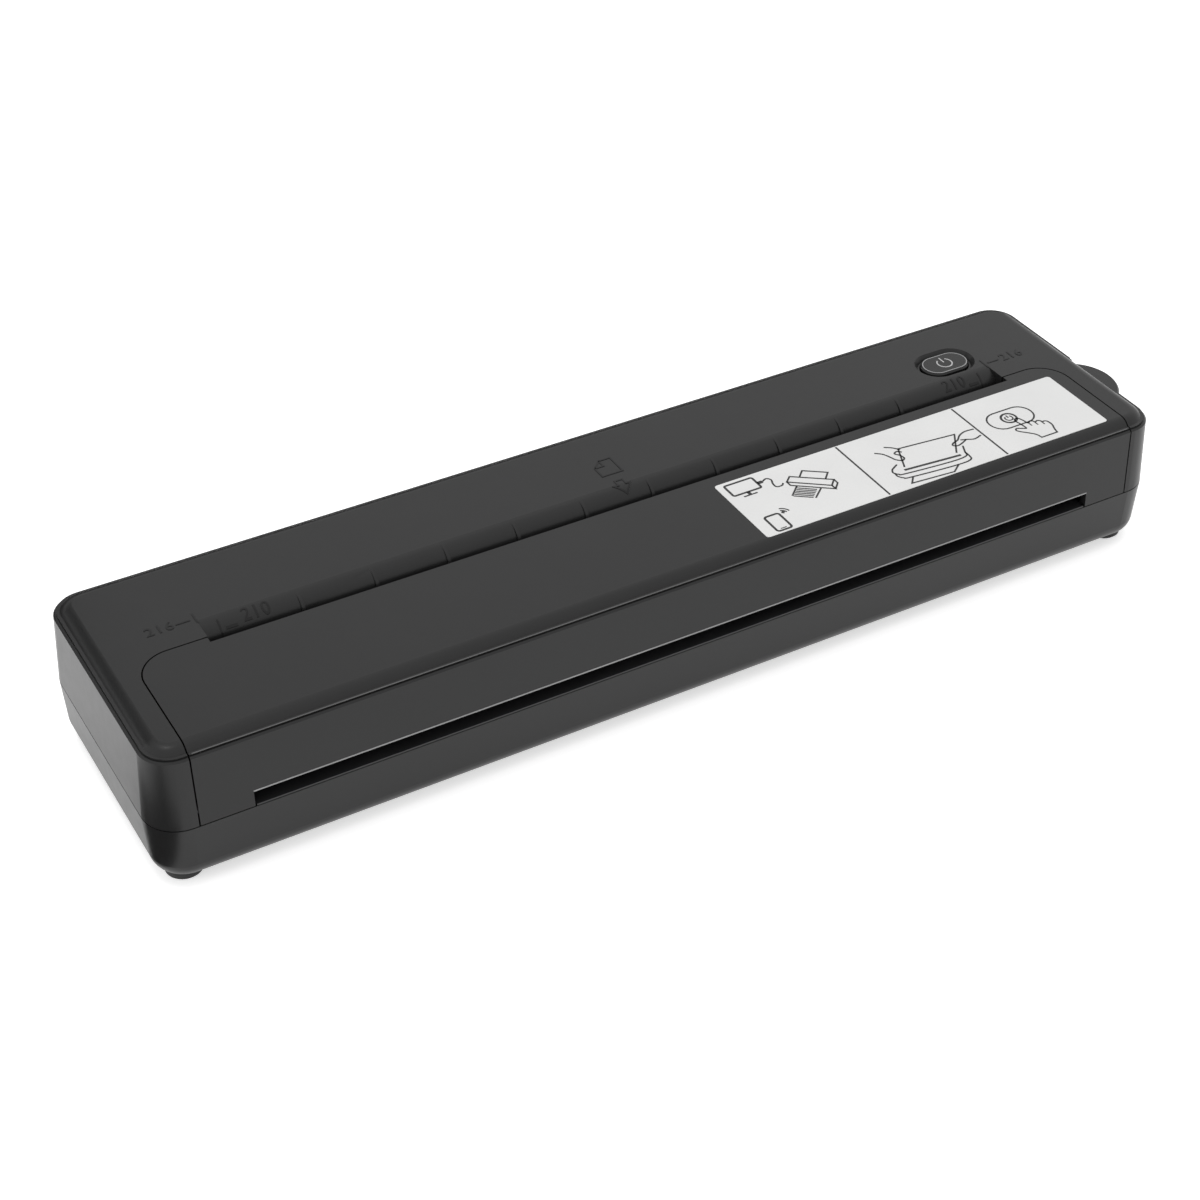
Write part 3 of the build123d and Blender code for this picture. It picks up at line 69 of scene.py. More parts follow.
# ---------------- camera
CAMERA_TURN = math.radians(-30.029)
CAMERA_RISE = math.radians(37.751)
CAMERA_ROLL = math.radians(0.454)
CAMERA_SHIFT_RIGHT = -8.882 * MM
CAMERA_SHIFT_UP = -24.037 * MM
CAMERA_DISTANCE = 542.385 * MM
CAMERA_CENTRE = Vector((BODY_X + 1.409 * MM, 0.0, TOP_Z))
CAMERA_NEAR, CAMERA_FAR = 0.01, 20.0
LENS_MM = 68.99
SENSOR_MM = 36.0

# ---------------- light and floor
WORLD_LIGHT = 0.55               # how strongly the white surroundings light the printer
WORLD_SEEN = 1.0                 # how bright they are where they are seen
FLOOR_GLOW = 0.55                # lifts the floor to white where it is seen
FLOOR_GREY = (0.85, 0.85, 0.85, 1.0)
FLOOR_REACH = 6.0
FLOOR_THICKNESS = 0.02
CLOTH_GREY = (0.04, 0.04, 0.04, 1.0)
LAMP_TARGET = (0.0, 0.0, 0.02)
SOFTBOXES = (                    # name, place, target, size and watts
    ("overhead_softbox", (0.1, 0.1, 1.3), LAMP_TARGET, (1.6, 1.2), 8.6),
    ("left_softbox", (-1.2, -0.1, 0.35), LAMP_TARGET, (0.9, 0.7), 4.0),
    ("front_fill", (-0.5, -1.2, 0.6), LAMP_TARGET, (1.4, 0.8), 1.5),
)
SMALL_LAMP = ("small_top_lamp", (-0.26, 0.13, 1.0), (-0.13, -0.03, 0.037), (0.2, 0.2), 0.6)
FLAGS = {                        # corners, in millimetres
    "rear_left_flag": [(-112, 150, 105), (-300, 150, 105), (-300, 150, 215), (-112, 150, 215)],
    "front_left_floor_flag": [(-137, -60, 0.6), (-137, -22, 0.6), (-160, 18, 0.6),
                              (-180, -60, 0.6)],
    "far_rear_flag": [(-300, 150, 0), (260, 150, 0), (260, 150, 72), (-300, 150, 72)],
    "rear_edge_flag": [(-133, 46, 24), (170, 46, 24), (170, 46, 31), (-133, 46, 31)],
}

# ---------------- moulded marks on the top, in millimetres
RAMP_START_Y = 7.2               # where the flat top starts to round down into the inlet
RAMP_R = 5.0
WIDE_BAR_Y = (6.2, 9.9)
NARROW_BAR_Y = (1.6, 5.6)
SHEET_MARKS = (                  # a bar's x, both ends of its dash, both ends of the bar
    (-106.7, (-111.3, -107.9), WIDE_BAR_Y),
    (109.4, (110.4, 113.8), WIDE_BAR_Y),
    (-102.6, (-101.4, -98.6), NARROW_BAR_Y),
    (105.3, (101.6, 104.4), NARROW_BAR_Y),
)
DASH_DROP = 0.1                  # how far a dash lies in front of its bar's middle
NUMERALS = (                     # what is written, and its middle
    ("216", (-115.0, 8.1)), ("216", (118.0, 8.1)), ("210", (-93.7, 4.8)), ("210", (97.5, 4.8)))
NUMERAL_HEIGHT = 3.0
FONT_SIZE = 1.38                 # a letter's body, as a share of the numeral's height
FONT_WEIGHT = 0.04
FONT_RISE = 0.1
FONT_SPACING = 1.12
MARK_STROKE = 0.45
MARK_SINK = 0.04                 # a mark's foot lies this deep in the plastic
MARK_HEIGHT = 0.14               # from the foot to the crest
PATH_STEP = 0.5                  # longest straight piece of a line that follows the ramp
CUT_STEP, CUT_COUNT = 0.35, 16   # cuts that let the marks follow the ramp

# ---------------- prints, in millimetres
PRINT_SINK = 0.01
PRINT_HEIGHT = 0.03
SIGN_RING_R = 1.95
SIGN_RING_ENDS = (125, 415)      # degrees
SIGN_BAR_Y = (0.3, 2.6)          # from the ring's middle
SIGN_STROKE = 0.36
LABEL_STROKE = 0.46
DIVIDER_X = (34.7, 69.6)
DIVIDER_Y = (0.3, 23.2)
DIVIDER_STROKE = 0.5

# ---------------- edges with painted highlight lines, in millimetres
HALF_ROUND_STEPS = 8
SLOT_X = (-111.8, 111.8)
SLOT_EDGE_Y = -33.32
SLOT_EDGE_Z = 21.42
SLOT_EDGE_BULGE = 0.1
SLOT_EDGE_HALF = 0.2
RIM_LINE_Y = -31.68
RIM_LINE_Z = 35.82
RIM_LINE_R = 0.16
RIM_LINE_INSET = 0.6
BUTTON_BEVEL = Vector((1.1, 1.1, 0.0))
BUTTON_EDGE_INSET = 0.5
BUTTON_EDGE_STROKE = 0.26
BUTTON_EDGE_SINK = 0.03
BUTTON_EDGE_HEIGHT = 0.06

# ---------------- small fittings, in millimetres
WELD = 0.001                     # corners closer than this are one
SCREWS = {"case_screws": (1.6, 1.05), "board_screws": (1.0, 0.75)}  # head height, shank radius
SCREW_HEAD_SIDES = 28
SCREW_SHANK_SIDES = 14
SCREW_HEAD_TAPER = 0.78          # radius of the head's top, as a share of its own
SCREW_SHANK_START = 0.96         # where the shank starts, as a share of the head's height
RECESS_LENGTH = 1.1              # the recess, as shares of the head's radius and height
RECESS_WIDTH = 0.3
RECESS_DEPTH = 0.6
BUTTON_BOARD_Z = 22              # screws above this hold the button's board from below
LEG_PITCH = 0.8
LEG_BENDS = (-0.1, 0.35, 0.5, 0.95)  # how far each point of a leg lies outside its package
LEG_FOOT_Z = 0.08
LEG_RISE = 1.0                   # where a leg leaves its package, at most half way up
LEG_WIDTH, LEG_THICKNESS = 0.34, 0.14
CONTACT_COUNT = 12
CONTACT_PITCH = 0.5
CONTACT_REACH = (2.6, 5.3)       # from the port's inner end
CONTACT_OFFSET = 0.36            # from the tongue's middle
CONTACT_WIDTH, CONTACT_THICKNESS = 0.26, 0.06
TRACE_COUNT = 15
TRACE_PITCH = 1.0
TRACE_RISE = 0.24                # from the cable's outer face to the traces on its inner one
TRACE_FRONT_END = 3              # below the cable's top
TRACE_REAR_END = 2               # above its underside
TRACE_WIDTH, TRACE_THICKNESS = 0.5, 0.06
HEATER_WIDTH = 0.9
HEATER_INSET = 1
HEATER_SINK = 0.01
HEATER_HEIGHT = 0.02


# ---------------- node helpers
def new_material(name):
    """A material with an empty tree, its shader and its output."""
    material = bpy.data.materials.new(name)
    material.use_nodes = True
    tree = material.node_tree
    tree.nodes.clear()
    output = tree.nodes.new("ShaderNodeOutputMaterial")
    shader = tree.nodes.new("ShaderNodeBsdfPrincipled")
    tree.links.new(shader.outputs["BSDF"], output.inputs["Surface"])
    return material, tree, shader


def dull_material(name, colour, roughness):
    """A material of one colour without any shine."""
    material, tree, shader = new_material(name)
    shader.inputs["Base Color"].default_value = colour
    shader.inputs["Roughness"].default_value = roughness
    shader.inputs["Specular IOR Level"].default_value = 0.0
    return material, tree, shader


def object_position(tree, scale=(1.0, 1.0, 1.0)):
    """Object coordinates, stretched by a scale along each axis."""
    coordinates = tree.nodes.new("ShaderNodeTexCoord")
    mapping = tree.nodes.new("ShaderNodeMapping")
    mapping.inputs["Scale"].default_value = scale
    tree.links.new(coordinates.outputs["Object"], mapping.inputs["Vector"])
    return mapping.outputs["Vector"]


def noise(tree, position, grain, detail=2.0, roughness=0.5):
    """Noise whose largest features are about one grain across."""
    texture = tree.nodes.new("ShaderNodeTexNoise")
    texture.inputs["Scale"].default_value = 1.0 / grain
    texture.inputs["Detail"].default_value = detail
    texture.inputs["Roughness"].default_value = roughness
    tree.links.new(position, texture.inputs["Vector"])
    return texture.outputs["Fac"]


def cells(tree, position, grain, feature="F1"):
    """Cells about one grain across."""
    texture = tree.nodes.new("ShaderNodeTexVoronoi")
    texture.feature = feature
    texture.inputs["Scale"].default_value = 1.0 / grain
    tree.links.new(position, texture.inputs["Vector"])
    return texture.outputs["Distance"]


def spread(tree, value, low=0.0, high=1.0, start=0.3, end=0.7):
    """Maps a value between start and end onto low to high."""
    ramp = tree.nodes.new("ShaderNodeMapRange")
    ramp.inputs["From Min"].default_value = start
    ramp.inputs["From Max"].default_value = end
    ramp.inputs["To Min"].default_value = low
    ramp.inputs["To Max"].default_value = high
    tree.links.new(value, ramp.inputs["Value"])
    return ramp.outputs["Result"]


def tint(tree, shader, amount, first, second):
    """Base colour between two tones; an amount of 0 gives the first, 1 the second."""
    mixer = tree.nodes.new("ShaderNodeMix")
    mixer.data_type = "RGBA"
    mixer.inputs["A"].default_value = (*first, 1.0)
    mixer.inputs["B"].default_value = (*second, 1.0)
    tree.links.new(amount, mixer.inputs["Factor"])
    tree.links.new(mixer.outputs["Result"], shader.inputs["Base Color"])


def vary_roughness(tree, shader, value, low, high, start=0.3, end=0.7):
    """Roughness that follows a texture."""
    tree.links.new(spread(tree, value, low, high, start, end), shader.inputs["Roughness"])


def add_bump(tree, shader, height, depth):
    """Bump of a height texture over a depth."""
    bump = tree.nodes.new("ShaderNodeBump")
    bump.inputs["Distance"].default_value = depth
    bump.inputs["Strength"].default_value = 1.0
    tree.links.new(height, bump.inputs["Height"])
    tree.links.new(bump.outputs["Normal"], shader.inputs["Normal"])


def grey(level):
    """A very slightly cool grey."""
    return (level, level, level * 1.01)


def shade(colour, share):
    """A colour darkened to a share of itself."""
    return tuple(value * share for value in colour)


# ---------------- finishes
def spark_eroded_plastic(name, level, roughness, grain=0.28 * MM, depth=0.006 * MM, shine=0.32):
    """Moulded plastic with the fine pitted skin of a spark-eroded tool."""
    material, tree, shader = new_material(name)
    shader.inputs["Specular IOR Level"].default_value = shine
    position = object_position(tree)
    cloud = noise(tree, position, 24 * MM, detail=3.0)
    tint(tree, shader, spread(tree, cloud), grey(level * 0.94), grey(level * 1.06))
    skin = noise(tree, position, 3.5 * MM, detail=4.0)
    vary_roughness(tree, shader, skin, roughness - 0.012, roughness + 0.012)
    pits = noise(tree, position, grain, detail=2.0, roughness=0.6)
    add_bump(tree, shader, pits, depth)
    return material


def mottled_finish(name, tones, roughness, grain, detail, bump, constants=None):
    """A finish whose tone and roughness drift with one cloud; bump is grain, depth and detail."""
    material, tree, shader = new_material(name)
    position = object_position(tree)
    cloud = noise(tree, position, grain, detail)
    tint(tree, shader, spread(tree, cloud), *tones)
    vary_roughness(tree, shader, cloud, *roughness)
    for label, value in (constants or {}).items():
        shader.inputs[label].default_value = value
    bump_grain, bump_depth, bump_detail = bump
    add_bump(tree, shader, noise(tree, position, bump_grain, bump_detail), bump_depth)
    return material


def smooth_plastic(name, colour, roughness):
    """Plain moulded plastic with a slightly wavy surface."""
    return mottled_finish(name, (shade(colour, 0.9), colour), (roughness - 0.04, roughness + 0.04),
                          9 * MM, 3.0, (1.2 * MM, 0.01 * MM, 2.0))


def painted_highlight_plastic(name, level, roughness):
    """Glossy moulded plastic from the polished part of a tool, lightened to a grey level that
    paints a highlight onto an edge.
    """
    tones = (grey(level * 0.85), grey(level * 1.1))
    return mottled_finish(name, tones, (roughness - 0.03, roughness + 0.03), 18 * MM, 2.0,
                          (0.8 * MM, 0.002 * MM, 2.0),
                          {"Specular IOR Level": 0.7, "Coat Weight": 0.6, "Coat Roughness": 0.1})


def rubber(name, level, grain, roughness=0.8):
    """Matt rubber with a fine ground surface."""
    tones = (grey(level * 0.85), grey(level * 1.15))
    return mottled_finish(name, tones, (roughness - 0.06, roughness + 0.04), 6 * MM, 3.0,
                          (grain, 0.02 * MM, 3.0), {"Sheen Weight": 0.15})


def glazed_ceramic(name):
    """Cream ceramic under a thin clear glaze."""
    return mottled_finish(name, ((0.74, 0.72, 0.64), (0.84, 0.82, 0.75)), (0.12, 0.22), 4 * MM, 4.0,
                          (0.4 * MM, 0.003 * MM, 2.0), {"Coat Weight": 0.5, "Coat Roughness": 0.08})


def label_film(name):
    """White printed film with a faint orange-peel surface."""
    material, tree, shader = new_material(name)
    position = object_position(tree)
    cloud = noise(tree, position, 14 * MM, detail=2.0)
    tint(tree, shader, spread(tree, cloud), (0.70, 0.70, 0.695), (0.73, 0.73, 0.725))
    vary_roughness(tree, shader, noise(tree, position, 2 * MM), 0.36, 0.44)
    add_bump(tree, shader, noise(tree, position, 0.6 * MM), 0.002 * MM)
    return material


def turned_metal(name, colour, roughness, stretch=(0.02, 1.0, 1.0)):
    """Metal with fine tool marks; the stretch draws them out along an axis."""
    material, tree, shader = new_material(name)
    marks = noise(tree, object_position(tree, stretch), 0.35 * MM, detail=3.0)
    cloud = noise(tree, object_position(tree), 8 * MM, detail=2.0)
    tint(tree, shader, spread(tree, cloud), shade(colour, 0.8), colour)
    shader.inputs["Metallic"].default_value = 1.0
    vary_roughness(tree, shader, marks, roughness - 0.08, roughness + 0.1)
    add_bump(tree, shader, marks, 0.004 * MM)
    return material


def zinc_sheet(name):
    """Galvanised sheet with its faint crystal pattern."""
    material, tree, shader = new_material(name)
    position = object_position(tree)
    crystals = cells(tree, position, 3.2 * MM)
    amount = spread(tree, crystals, start=0.1, end=0.7)
    tint(tree, shader, amount, (0.50, 0.51, 0.53), (0.66, 0.67, 0.69))
    shader.inputs["Metallic"].default_value = 1.0
    vary_roughness(tree, shader, crystals, 0.3, 0.45, 0.1, 0.7)
    add_bump(tree, shader, noise(tree, position, 0.5 * MM), 0.004 * MM)
    return material


def circuit_board(name):
    """Solder mask over copper tracks, which show as lighter lines under the green."""
    material, tree, shader = new_material(name)
    position = object_position(tree)
    tracks = cells(tree, object_position(tree, (1.0, 0.35, 1.0)), 2.6 * MM, "DISTANCE_TO_EDGE")
    lines = spread(tree, tracks, 1.0, 0.0, 0.03, 0.07)
    tint(tree, shader, lines, (0.012, 0.085, 0.035), (0.03, 0.16, 0.06))
    vary_roughness(tree, shader, noise(tree, position, 2 * MM), 0.24, 0.34)
    add_bump(tree, shader, lines, 0.02 * MM)
    return material


def cell_sleeve(name):
    """Shrink sleeve, glossy and slightly puckered."""
    material, tree, shader = new_material(name)
    position = object_position(tree, (0.25, 1.0, 1.0))
    wrinkles = noise(tree, position, 5 * MM, detail=3.0)
    tint(tree, shader, spread(tree, wrinkles), (0.018, 0.075, 0.26), (0.03, 0.11, 0.36))
    vary_roughness(tree, shader, wrinkles, 0.2, 0.32)
    add_bump(tree, shader, wrinkles, 0.06 * MM)
    return material


def printed_ink(name, colour, roughness):
    """Ink or paint of one colour with a little unevenness."""
    material, tree, shader = new_material(name)
    position = object_position(tree)
    cloud = noise(tree, position, 1.5 * MM, detail=2.0)
    lighter = tuple(min(1.0, value * 1.12 + 0.004) for value in colour)
    tint(tree, shader, spread(tree, cloud), colour, lighter)
    shader.inputs["Roughness"].default_value = roughness
    return material


ALL_WAYS = (1, 1, 1)             # no direction in the tool marks
MATERIALS = {                    # one finish for every material slot of the part
    "housing_plastic": spark_eroded_plastic("satin_charcoal_housing", 0.012, 0.32),
    "button_plastic": spark_eroded_plastic("satin_charcoal_controls", 0.012, 0.26, grain=0.2 * MM),
    "inner_plastic": smooth_plastic("smooth_black_guides", (0.018, 0.018, 0.019), 0.34),
    "label_film": label_film("white_label_film"),
    "foot_rubber": rubber("black_foot_rubber", 0.016, 0.5 * MM),
    "roller_rubber": rubber("ground_roller_rubber", 0.05, 0.2 * MM, 0.7),
    "gear_plastic": smooth_plastic("natural_acetal", (0.72, 0.71, 0.66), 0.4),
    "bushing_plastic": smooth_plastic("dark_bearing_plastic", (0.05, 0.05, 0.05), 0.4),
    "steel": turned_metal("ground_steel", (0.58, 0.58, 0.6), 0.24),
    "zinc_screw": turned_metal("zinc_plated_screws", (0.5, 0.5, 0.52), 0.3, (1, 1, 0.05)),
    "plate_steel": zinc_sheet("galvanised_sheet"),
    "aluminium": turned_metal("rolled_aluminium", (0.72, 0.73, 0.74), 0.36),
    "ceramic": glazed_ceramic("glazed_alumina"),
    "resin": smooth_plastic("black_chip_resin", (0.012, 0.012, 0.013), 0.22),
    "spring_steel": turned_metal("bright_spring_wire", (0.62, 0.62, 0.63), 0.2, ALL_WAYS),
    "brass": turned_metal("turned_brass", (0.72, 0.52, 0.2), 0.25, (0.1, 1, 1)),
    "board_green": circuit_board("green_circuit_board"),
    "chip_black": smooth_plastic("moulded_chip_packages", (0.02, 0.02, 0.021), 0.5),
    "port_metal": turned_metal("stainless_port", (0.62, 0.62, 0.63), 0.25),
    "cell_wrap": cell_sleeve("blue_cell_sleeve"),
    "ribbon": smooth_plastic("flat_cable_film", (0.62, 0.58, 0.46), 0.3),
}
INK = printed_ink("black_label_ink", (0.012, 0.012, 0.012), 0.5)
PALE_PRINT = printed_ink("pale_button_print", (0.40, 0.40, 0.40), 0.45)
# The marks' base is darker than the housing's, 0.008 against 0.012: painted shade on the raised
# numerals and bars.
SHADED_MARK_PLASTIC = spark_eroded_plastic("moulded_marks_painted_shade", 0.008, 0.3, depth=0.002 * MM, shine=0.26)
# Painted highlights: these two are far lighter than the charcoal housing and stand for light caught
# by the slot edge, the button's bevel and the cover's rim.
PAINTED_HIGHLIGHT_EDGE = painted_highlight_plastic("painted_highlight_edge", 0.24, 0.16)
PAINTED_HIGHLIGHT_RIM = painted_highlight_plastic("painted_highlight_rim", 0.05, 0.2)
GOLD_PADS = turned_metal("gold_plated_pads", (0.83, 0.62, 0.28), 0.22, ALL_WAYS)
TINNED_LEGS = turned_metal("tinned_legs", (0.66, 0.67, 0.68), 0.3, ALL_WAYS)
TRACE_COPPER = turned_metal("traces_under_film", (0.55, 0.40, 0.22), 0.35, ALL_WAYS)
HEATER_GLAZE = printed_ink("dark_heater_glaze", (0.06, 0.035, 0.02), 0.12)


def finish_nodes():
    """Every carried-over node gets the finish of its slot."""
    slots = {row["node"]: row["material_slot"] for row in frame["record"]["subparts"]}
    for name, node in frame["nodes"].items():
        node.data.materials.clear()
        node.data.materials.append(MATERIALS[slots[name]])


# ---------------- mesh helpers
def placed_object(name, data):
    """An object in the scene that shows some data."""
    made = bpy.data.objects.new(name, data)
    bpy.context.scene.collection.objects.link(made)
    return made


def plain_mesh(shown):
    """The mesh that an object's modifiers or text make; the object itself is removed."""
    mesh = bpy.data.meshes.new_from_object(
        shown.evaluated_get(bpy.context.evaluated_depsgraph_get()))
    bpy.data.objects.remove(shown)
    return mesh


def mesh_piece(name, mesh, material, body):
    """Places a finished mesh in the scene as a piece that rides on a body."""
    mesh.name = name
    piece = placed_object(name, mesh)
    piece.data.materials.clear()
    piece.data.materials.append(material)
    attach(piece, body)
    return piece


def mesh_from(bm):
    """The mesh of a bmesh, which is freed."""
    mesh = bpy.data.meshes.new("made")
    bm.to_mesh(mesh)
    bm.free()
    return mesh


def finished_mesh(bm):
    """The mesh of a bmesh, with its faces turned outwards."""
    bmesh.ops.recalc_face_normals(bm, faces=bm.faces)
    return mesh_from(bm)


def prism(bm, outline, low, high):
    """A closed prism over an outline of (x, y) points."""
    bottom = [bm.verts.new((x, y, low)) for x, y in outline]
    top = [bm.verts.new((x, y, high)) for x, y in outline]
    bm.faces.new(top)
    bm.faces.new(bottom[::-1])
    count = len(outline)
    for index in range(count):
        after = (index + 1) % count
        bm.faces.new((bottom[index], bottom[after], top[after], top[index]))


def stroke(bm, points, width, foot_z, height, closed=False):
    """A raised line of even width with mitred corners.

    The (x, y) points, the width and the height are in millimetres, foot_z is in metres.
    """
    path = [Vector(point) for point in points]
    count = len(path)
    sides = ([], [])
    for index, point in enumerate(path):
        before = path[index - 1] if closed or index else None
        after = path[(index + 1) % count] if closed or index < count - 1 else None
        along_in = (point - before).normalized() if before is not None else None
        along_out = (after - point).normalized() if after is not None else None
        if along_in is None:
            along_in = along_out
        if along_out is None:
            along_out = along_in
        across_in = Vector((-along_in.y, along_in.x))
        across_out = Vector((-along_out.y, along_out.x))
        normal = (across_in + across_out).normalized()
        reach = width / 2 / max(0.4, normal.dot(across_in))  # a sharp corner is cut short
        sides[0].append(point + normal * reach)
        sides[1].append(point - normal * reach)
    crest_z = foot_z + height * MM
    rings = []
    for left, right in zip(*sides):
        corners = ((left, foot_z), (right, foot_z), (right, crest_z), (left, crest_z))
        rings.append([bm.verts.new((side.x * MM, side.y * MM, z)) for side, z in corners])
    for index in range(count if closed else count - 1):
        first, second = rings[index], rings[(index + 1) % count]
        for side in range(4):
            other = (side + 1) % 4
            bm.faces.new((first[side], first[other], second[other], second[side]))
    if not closed:
        bm.faces.new(rings[0][::-1])
        bm.faces.new(rings[-1])


def welded(node_name):
    """A bmesh copy of a node with its loose triangles joined up."""
    bm = bmesh.new()
    bm.from_mesh(frame["nodes"][node_name].data)
    bmesh.ops.remove_doubles(bm, verts=bm.verts, dist=WELD * MM)
    return bm


def solids_of(node_name):
    """Lowest and highest corner of each separate solid of a node, from left to right."""
    bm = welded(node_name)
    waiting, corners = set(bm.verts), []
    while waiting:
        front = [waiting.pop()]
        found = list(front)
        while front:
            vertex = front.pop()
            for edge in vertex.link_edges:
                other = edge.other_vert(vertex)
                if other in waiting:
                    waiting.remove(other)
                    front.append(other)
                    found.append(other)
        corners.append(tuple(
            Vector([pick(vertex.co[axis] for vertex in found) for axis in range(3)])
            for pick in (min, max)))
    bm.free()
    return sorted(corners, key=lambda pair: tuple(round(value, 6) for value in pair[0]))


def joined(meshes, cuts=()):
    """One mesh made of several, cut across at each y so that it can follow a rounded surface."""
    bm = bmesh.new()
    for mesh in meshes:
        bm.from_mesh(mesh)
    for y in cuts:
        parts = bm.verts[:] + bm.edges[:] + bm.faces[:]
        bmesh.ops.bisect_plane(bm, geom=parts, plane_co=(0, y * MM, 0), plane_no=(0, 1, 0))
    bmesh.ops.triangulate(bm, faces=bm.faces)
    return mesh_from(bm)


# ---------------- Geometry Nodes that make what repeats
class SizeTree:
    """A Geometry Nodes tree with a named input for each size."""

    def __init__(self, name, sizes):
        self.tree = bpy.data.node_groups.new(name, "GeometryNodeTree")
        self.socket("Geometry", "Geometry")
        for label, kind in sizes.items():
            self.socket(label, kind)
        self.socket("Finish", "Material")
        self.socket("Geometry", "Geometry", "OUTPUT")
        self.given = self.tree.nodes.new("NodeGroupInput").outputs

    def socket(self, label, kind, side="INPUT"):
        """Gives the tree an input or an output."""
        self.tree.interface.new_socket(label, in_out=side, socket_type="NodeSocket" + kind)

    def link(self, source, target):
        """Links one node's output to another's input."""
        self.tree.links.new(source, target)

    def add(self, kind, settings=None, **links):
        """Adds a node with its settings; a link's underscore stands for a space."""
        node = self.tree.nodes.new(kind)
        for key, value in (settings or {}).items():
            if isinstance(key, str) and hasattr(node, key):
                setattr(node, key, value)
            else:
                node.inputs[key].default_value = value
        for label, source in links.items():
            self.link(source, node.inputs[label.replace("_", " ")])
        return node

    def product(self, source, factor):
        """A size times a number."""
        node = self.add("ShaderNodeMath", {"operation": "MULTIPLY", 1: factor})
        self.link(source, node.inputs[0])
        return node.outputs[0]

    def total(self, first, second):
        """The sum of two sizes."""
        node = self.add("ShaderNodeMath", {"operation": "ADD"})
        self.link(first, node.inputs[0])
        self.link(second, node.inputs[1])
        return node.outputs[0]

    def vector(self, **parts):
        """A vector of the given X, Y and Z; one that is left out is 0."""
        return self.add("ShaderNodeCombineXYZ", **parts).outputs[0]

    def raised(self, geometry, rise):
        """Geometry moved up."""
        return self.add("GeometryNodeTransform", Geometry=geometry,
                        Translation=self.vector(Z=rise)).outputs[0]

    def at_points(self, points, piece, **turned):
        """Ends the tree with the piece at every point, as plain geometry with the given finish."""
        row = self.add("GeometryNodeInstanceOnPoints", Points=points, Instance=piece, **turned)
        real = self.add("GeometryNodeRealizeInstances", Geometry=row.outputs[0])
        painted = self.add("GeometryNodeSetMaterial", Geometry=real.outputs[0],
                           Material=self.given["Finish"])
        output = self.tree.nodes.new("NodeGroupOutput")
        self.link(painted.outputs[0], output.inputs["Geometry"])
        return self.tree


def screw_tree():
    """A pan-head screw with a cross recess at every point; its head looks up until it is turned."""
    labels = ("Head radius", "Head height", "Recess length", "Recess width", "Recess depth",
              "Shank radius", "Shank length")
    nodes = SizeTree("cross_recess_screws", {**dict.fromkeys(labels, "Float"), "Turn": "Vector"})
    given, product = nodes.given, nodes.product
    cone = nodes.add("GeometryNodeMeshCone", {"Vertices": SCREW_HEAD_SIDES},
                     Radius_Bottom=given["Head radius"],
                     Radius_Top=product(given["Head radius"], SCREW_HEAD_TAPER),
                     Depth=given["Head height"])
    head = nodes.raised(cone.outputs["Mesh"], product(given["Head height"], -1.0))
    cut = nodes.add("GeometryNodeMeshBoolean", {"operation": "DIFFERENCE"})
    nodes.link(head, cut.inputs["Mesh 1"])
    for long_side, short_side in (("X", "Y"), ("Y", "X")):
        size = nodes.vector(**{long_side: given["Recess length"],
                               short_side: given["Recess width"],
                               "Z": product(given["Recess depth"], 2.0)})
        bar = nodes.add("GeometryNodeMeshCube", Size=size)
        nodes.link(bar.outputs["Mesh"], cut.inputs["Mesh 2"])
    rod = nodes.add("GeometryNodeMeshCylinder", {"Vertices": SCREW_SHANK_SIDES},
                    Radius=given["Shank radius"], Depth=given["Shank length"])
    drop = nodes.total(product(given["Shank length"], -0.5),
                       product(given["Head height"], -SCREW_SHANK_START))
    shank = nodes.raised(rod.outputs["Mesh"], drop)
    screw = nodes.add("GeometryNodeJoinGeometry")
    nodes.link(cut.outputs["Mesh"], screw.inputs[0])
    nodes.link(shank, screw.inputs[0])
    return nodes.at_points(given["Geometry"], screw.outputs[0], Rotation=given["Turn"])


def strip_tree():
    """A flat strip along the given edges, repeated in even steps."""
    nodes = SizeTree("repeated_strips",
                     {"Width": "Float", "Thickness": "Float", "Count": "Int", "Step": "Vector"})
    given = nodes.given
    path = nodes.add("GeometryNodeMeshToCurve", Mesh=given["Geometry"])
    section = nodes.add("GeometryNodeCurvePrimitiveQuadrilateral", {"mode": "RECTANGLE"},
                        Width=given["Width"], Height=given["Thickness"])
    strip = nodes.add("GeometryNodeCurveToMesh", {"Fill Caps": True}, Curve=path.outputs[0],
                      Profile_Curve=section.outputs[0])
    row = nodes.add("GeometryNodeMeshLine", {"mode": "OFFSET"}, Count=given["Count"],
                    Offset=given["Step"])
    return nodes.at_points(row.outputs[0], strip.outputs[0])


def grown(tree, points, edges, finish, values):
    """The plain mesh that a tree makes from points and edges."""
    seed = bpy.data.meshes.new("places")
    seed.from_pydata([tuple(point) for point in points], edges, [])
    holder = placed_object("holder", seed)
    modifier = holder.modifiers.new("made", "NODES")
    modifier.node_group = tree
    values = {**values, "Finish": finish}
    for item in tree.interface.items_tree:
        if item.in_out == "INPUT" and item.name in values:
            modifier[item.identifier] = values[item.name]
    return plain_mesh(holder)


STRIP_TREE = strip_tree()


def strips(path, size, count, step, finish):
    """A strip of a width and a thickness, in millimetres, along a path, repeated in even steps."""
    chain = [(index, index + 1) for index in range(len(path) - 1)]
    return grown(STRIP_TREE, path, chain, finish, {
        "Width": size[0] * MM, "Thickness": size[1] * MM, "Count": count, "Step": step})


def row_start(low, high, pitch, count):
    """Where an even row starts that lies midway between two ends."""
    return (low + high) / 2 - pitch * (count - 1) / 2


# ---------------- drawing helpers, in millimetres
def arc(centre, radius, start, end, steps):
    """Points on an arc; angles in degrees."""
    points = []
    for index in range(steps + 1):
        angle = math.radians(start + (end - start) * index / steps)
        points.append((centre[0] + radius * math.cos(angle), centre[1] + radius * math.sin(angle)))
    return points


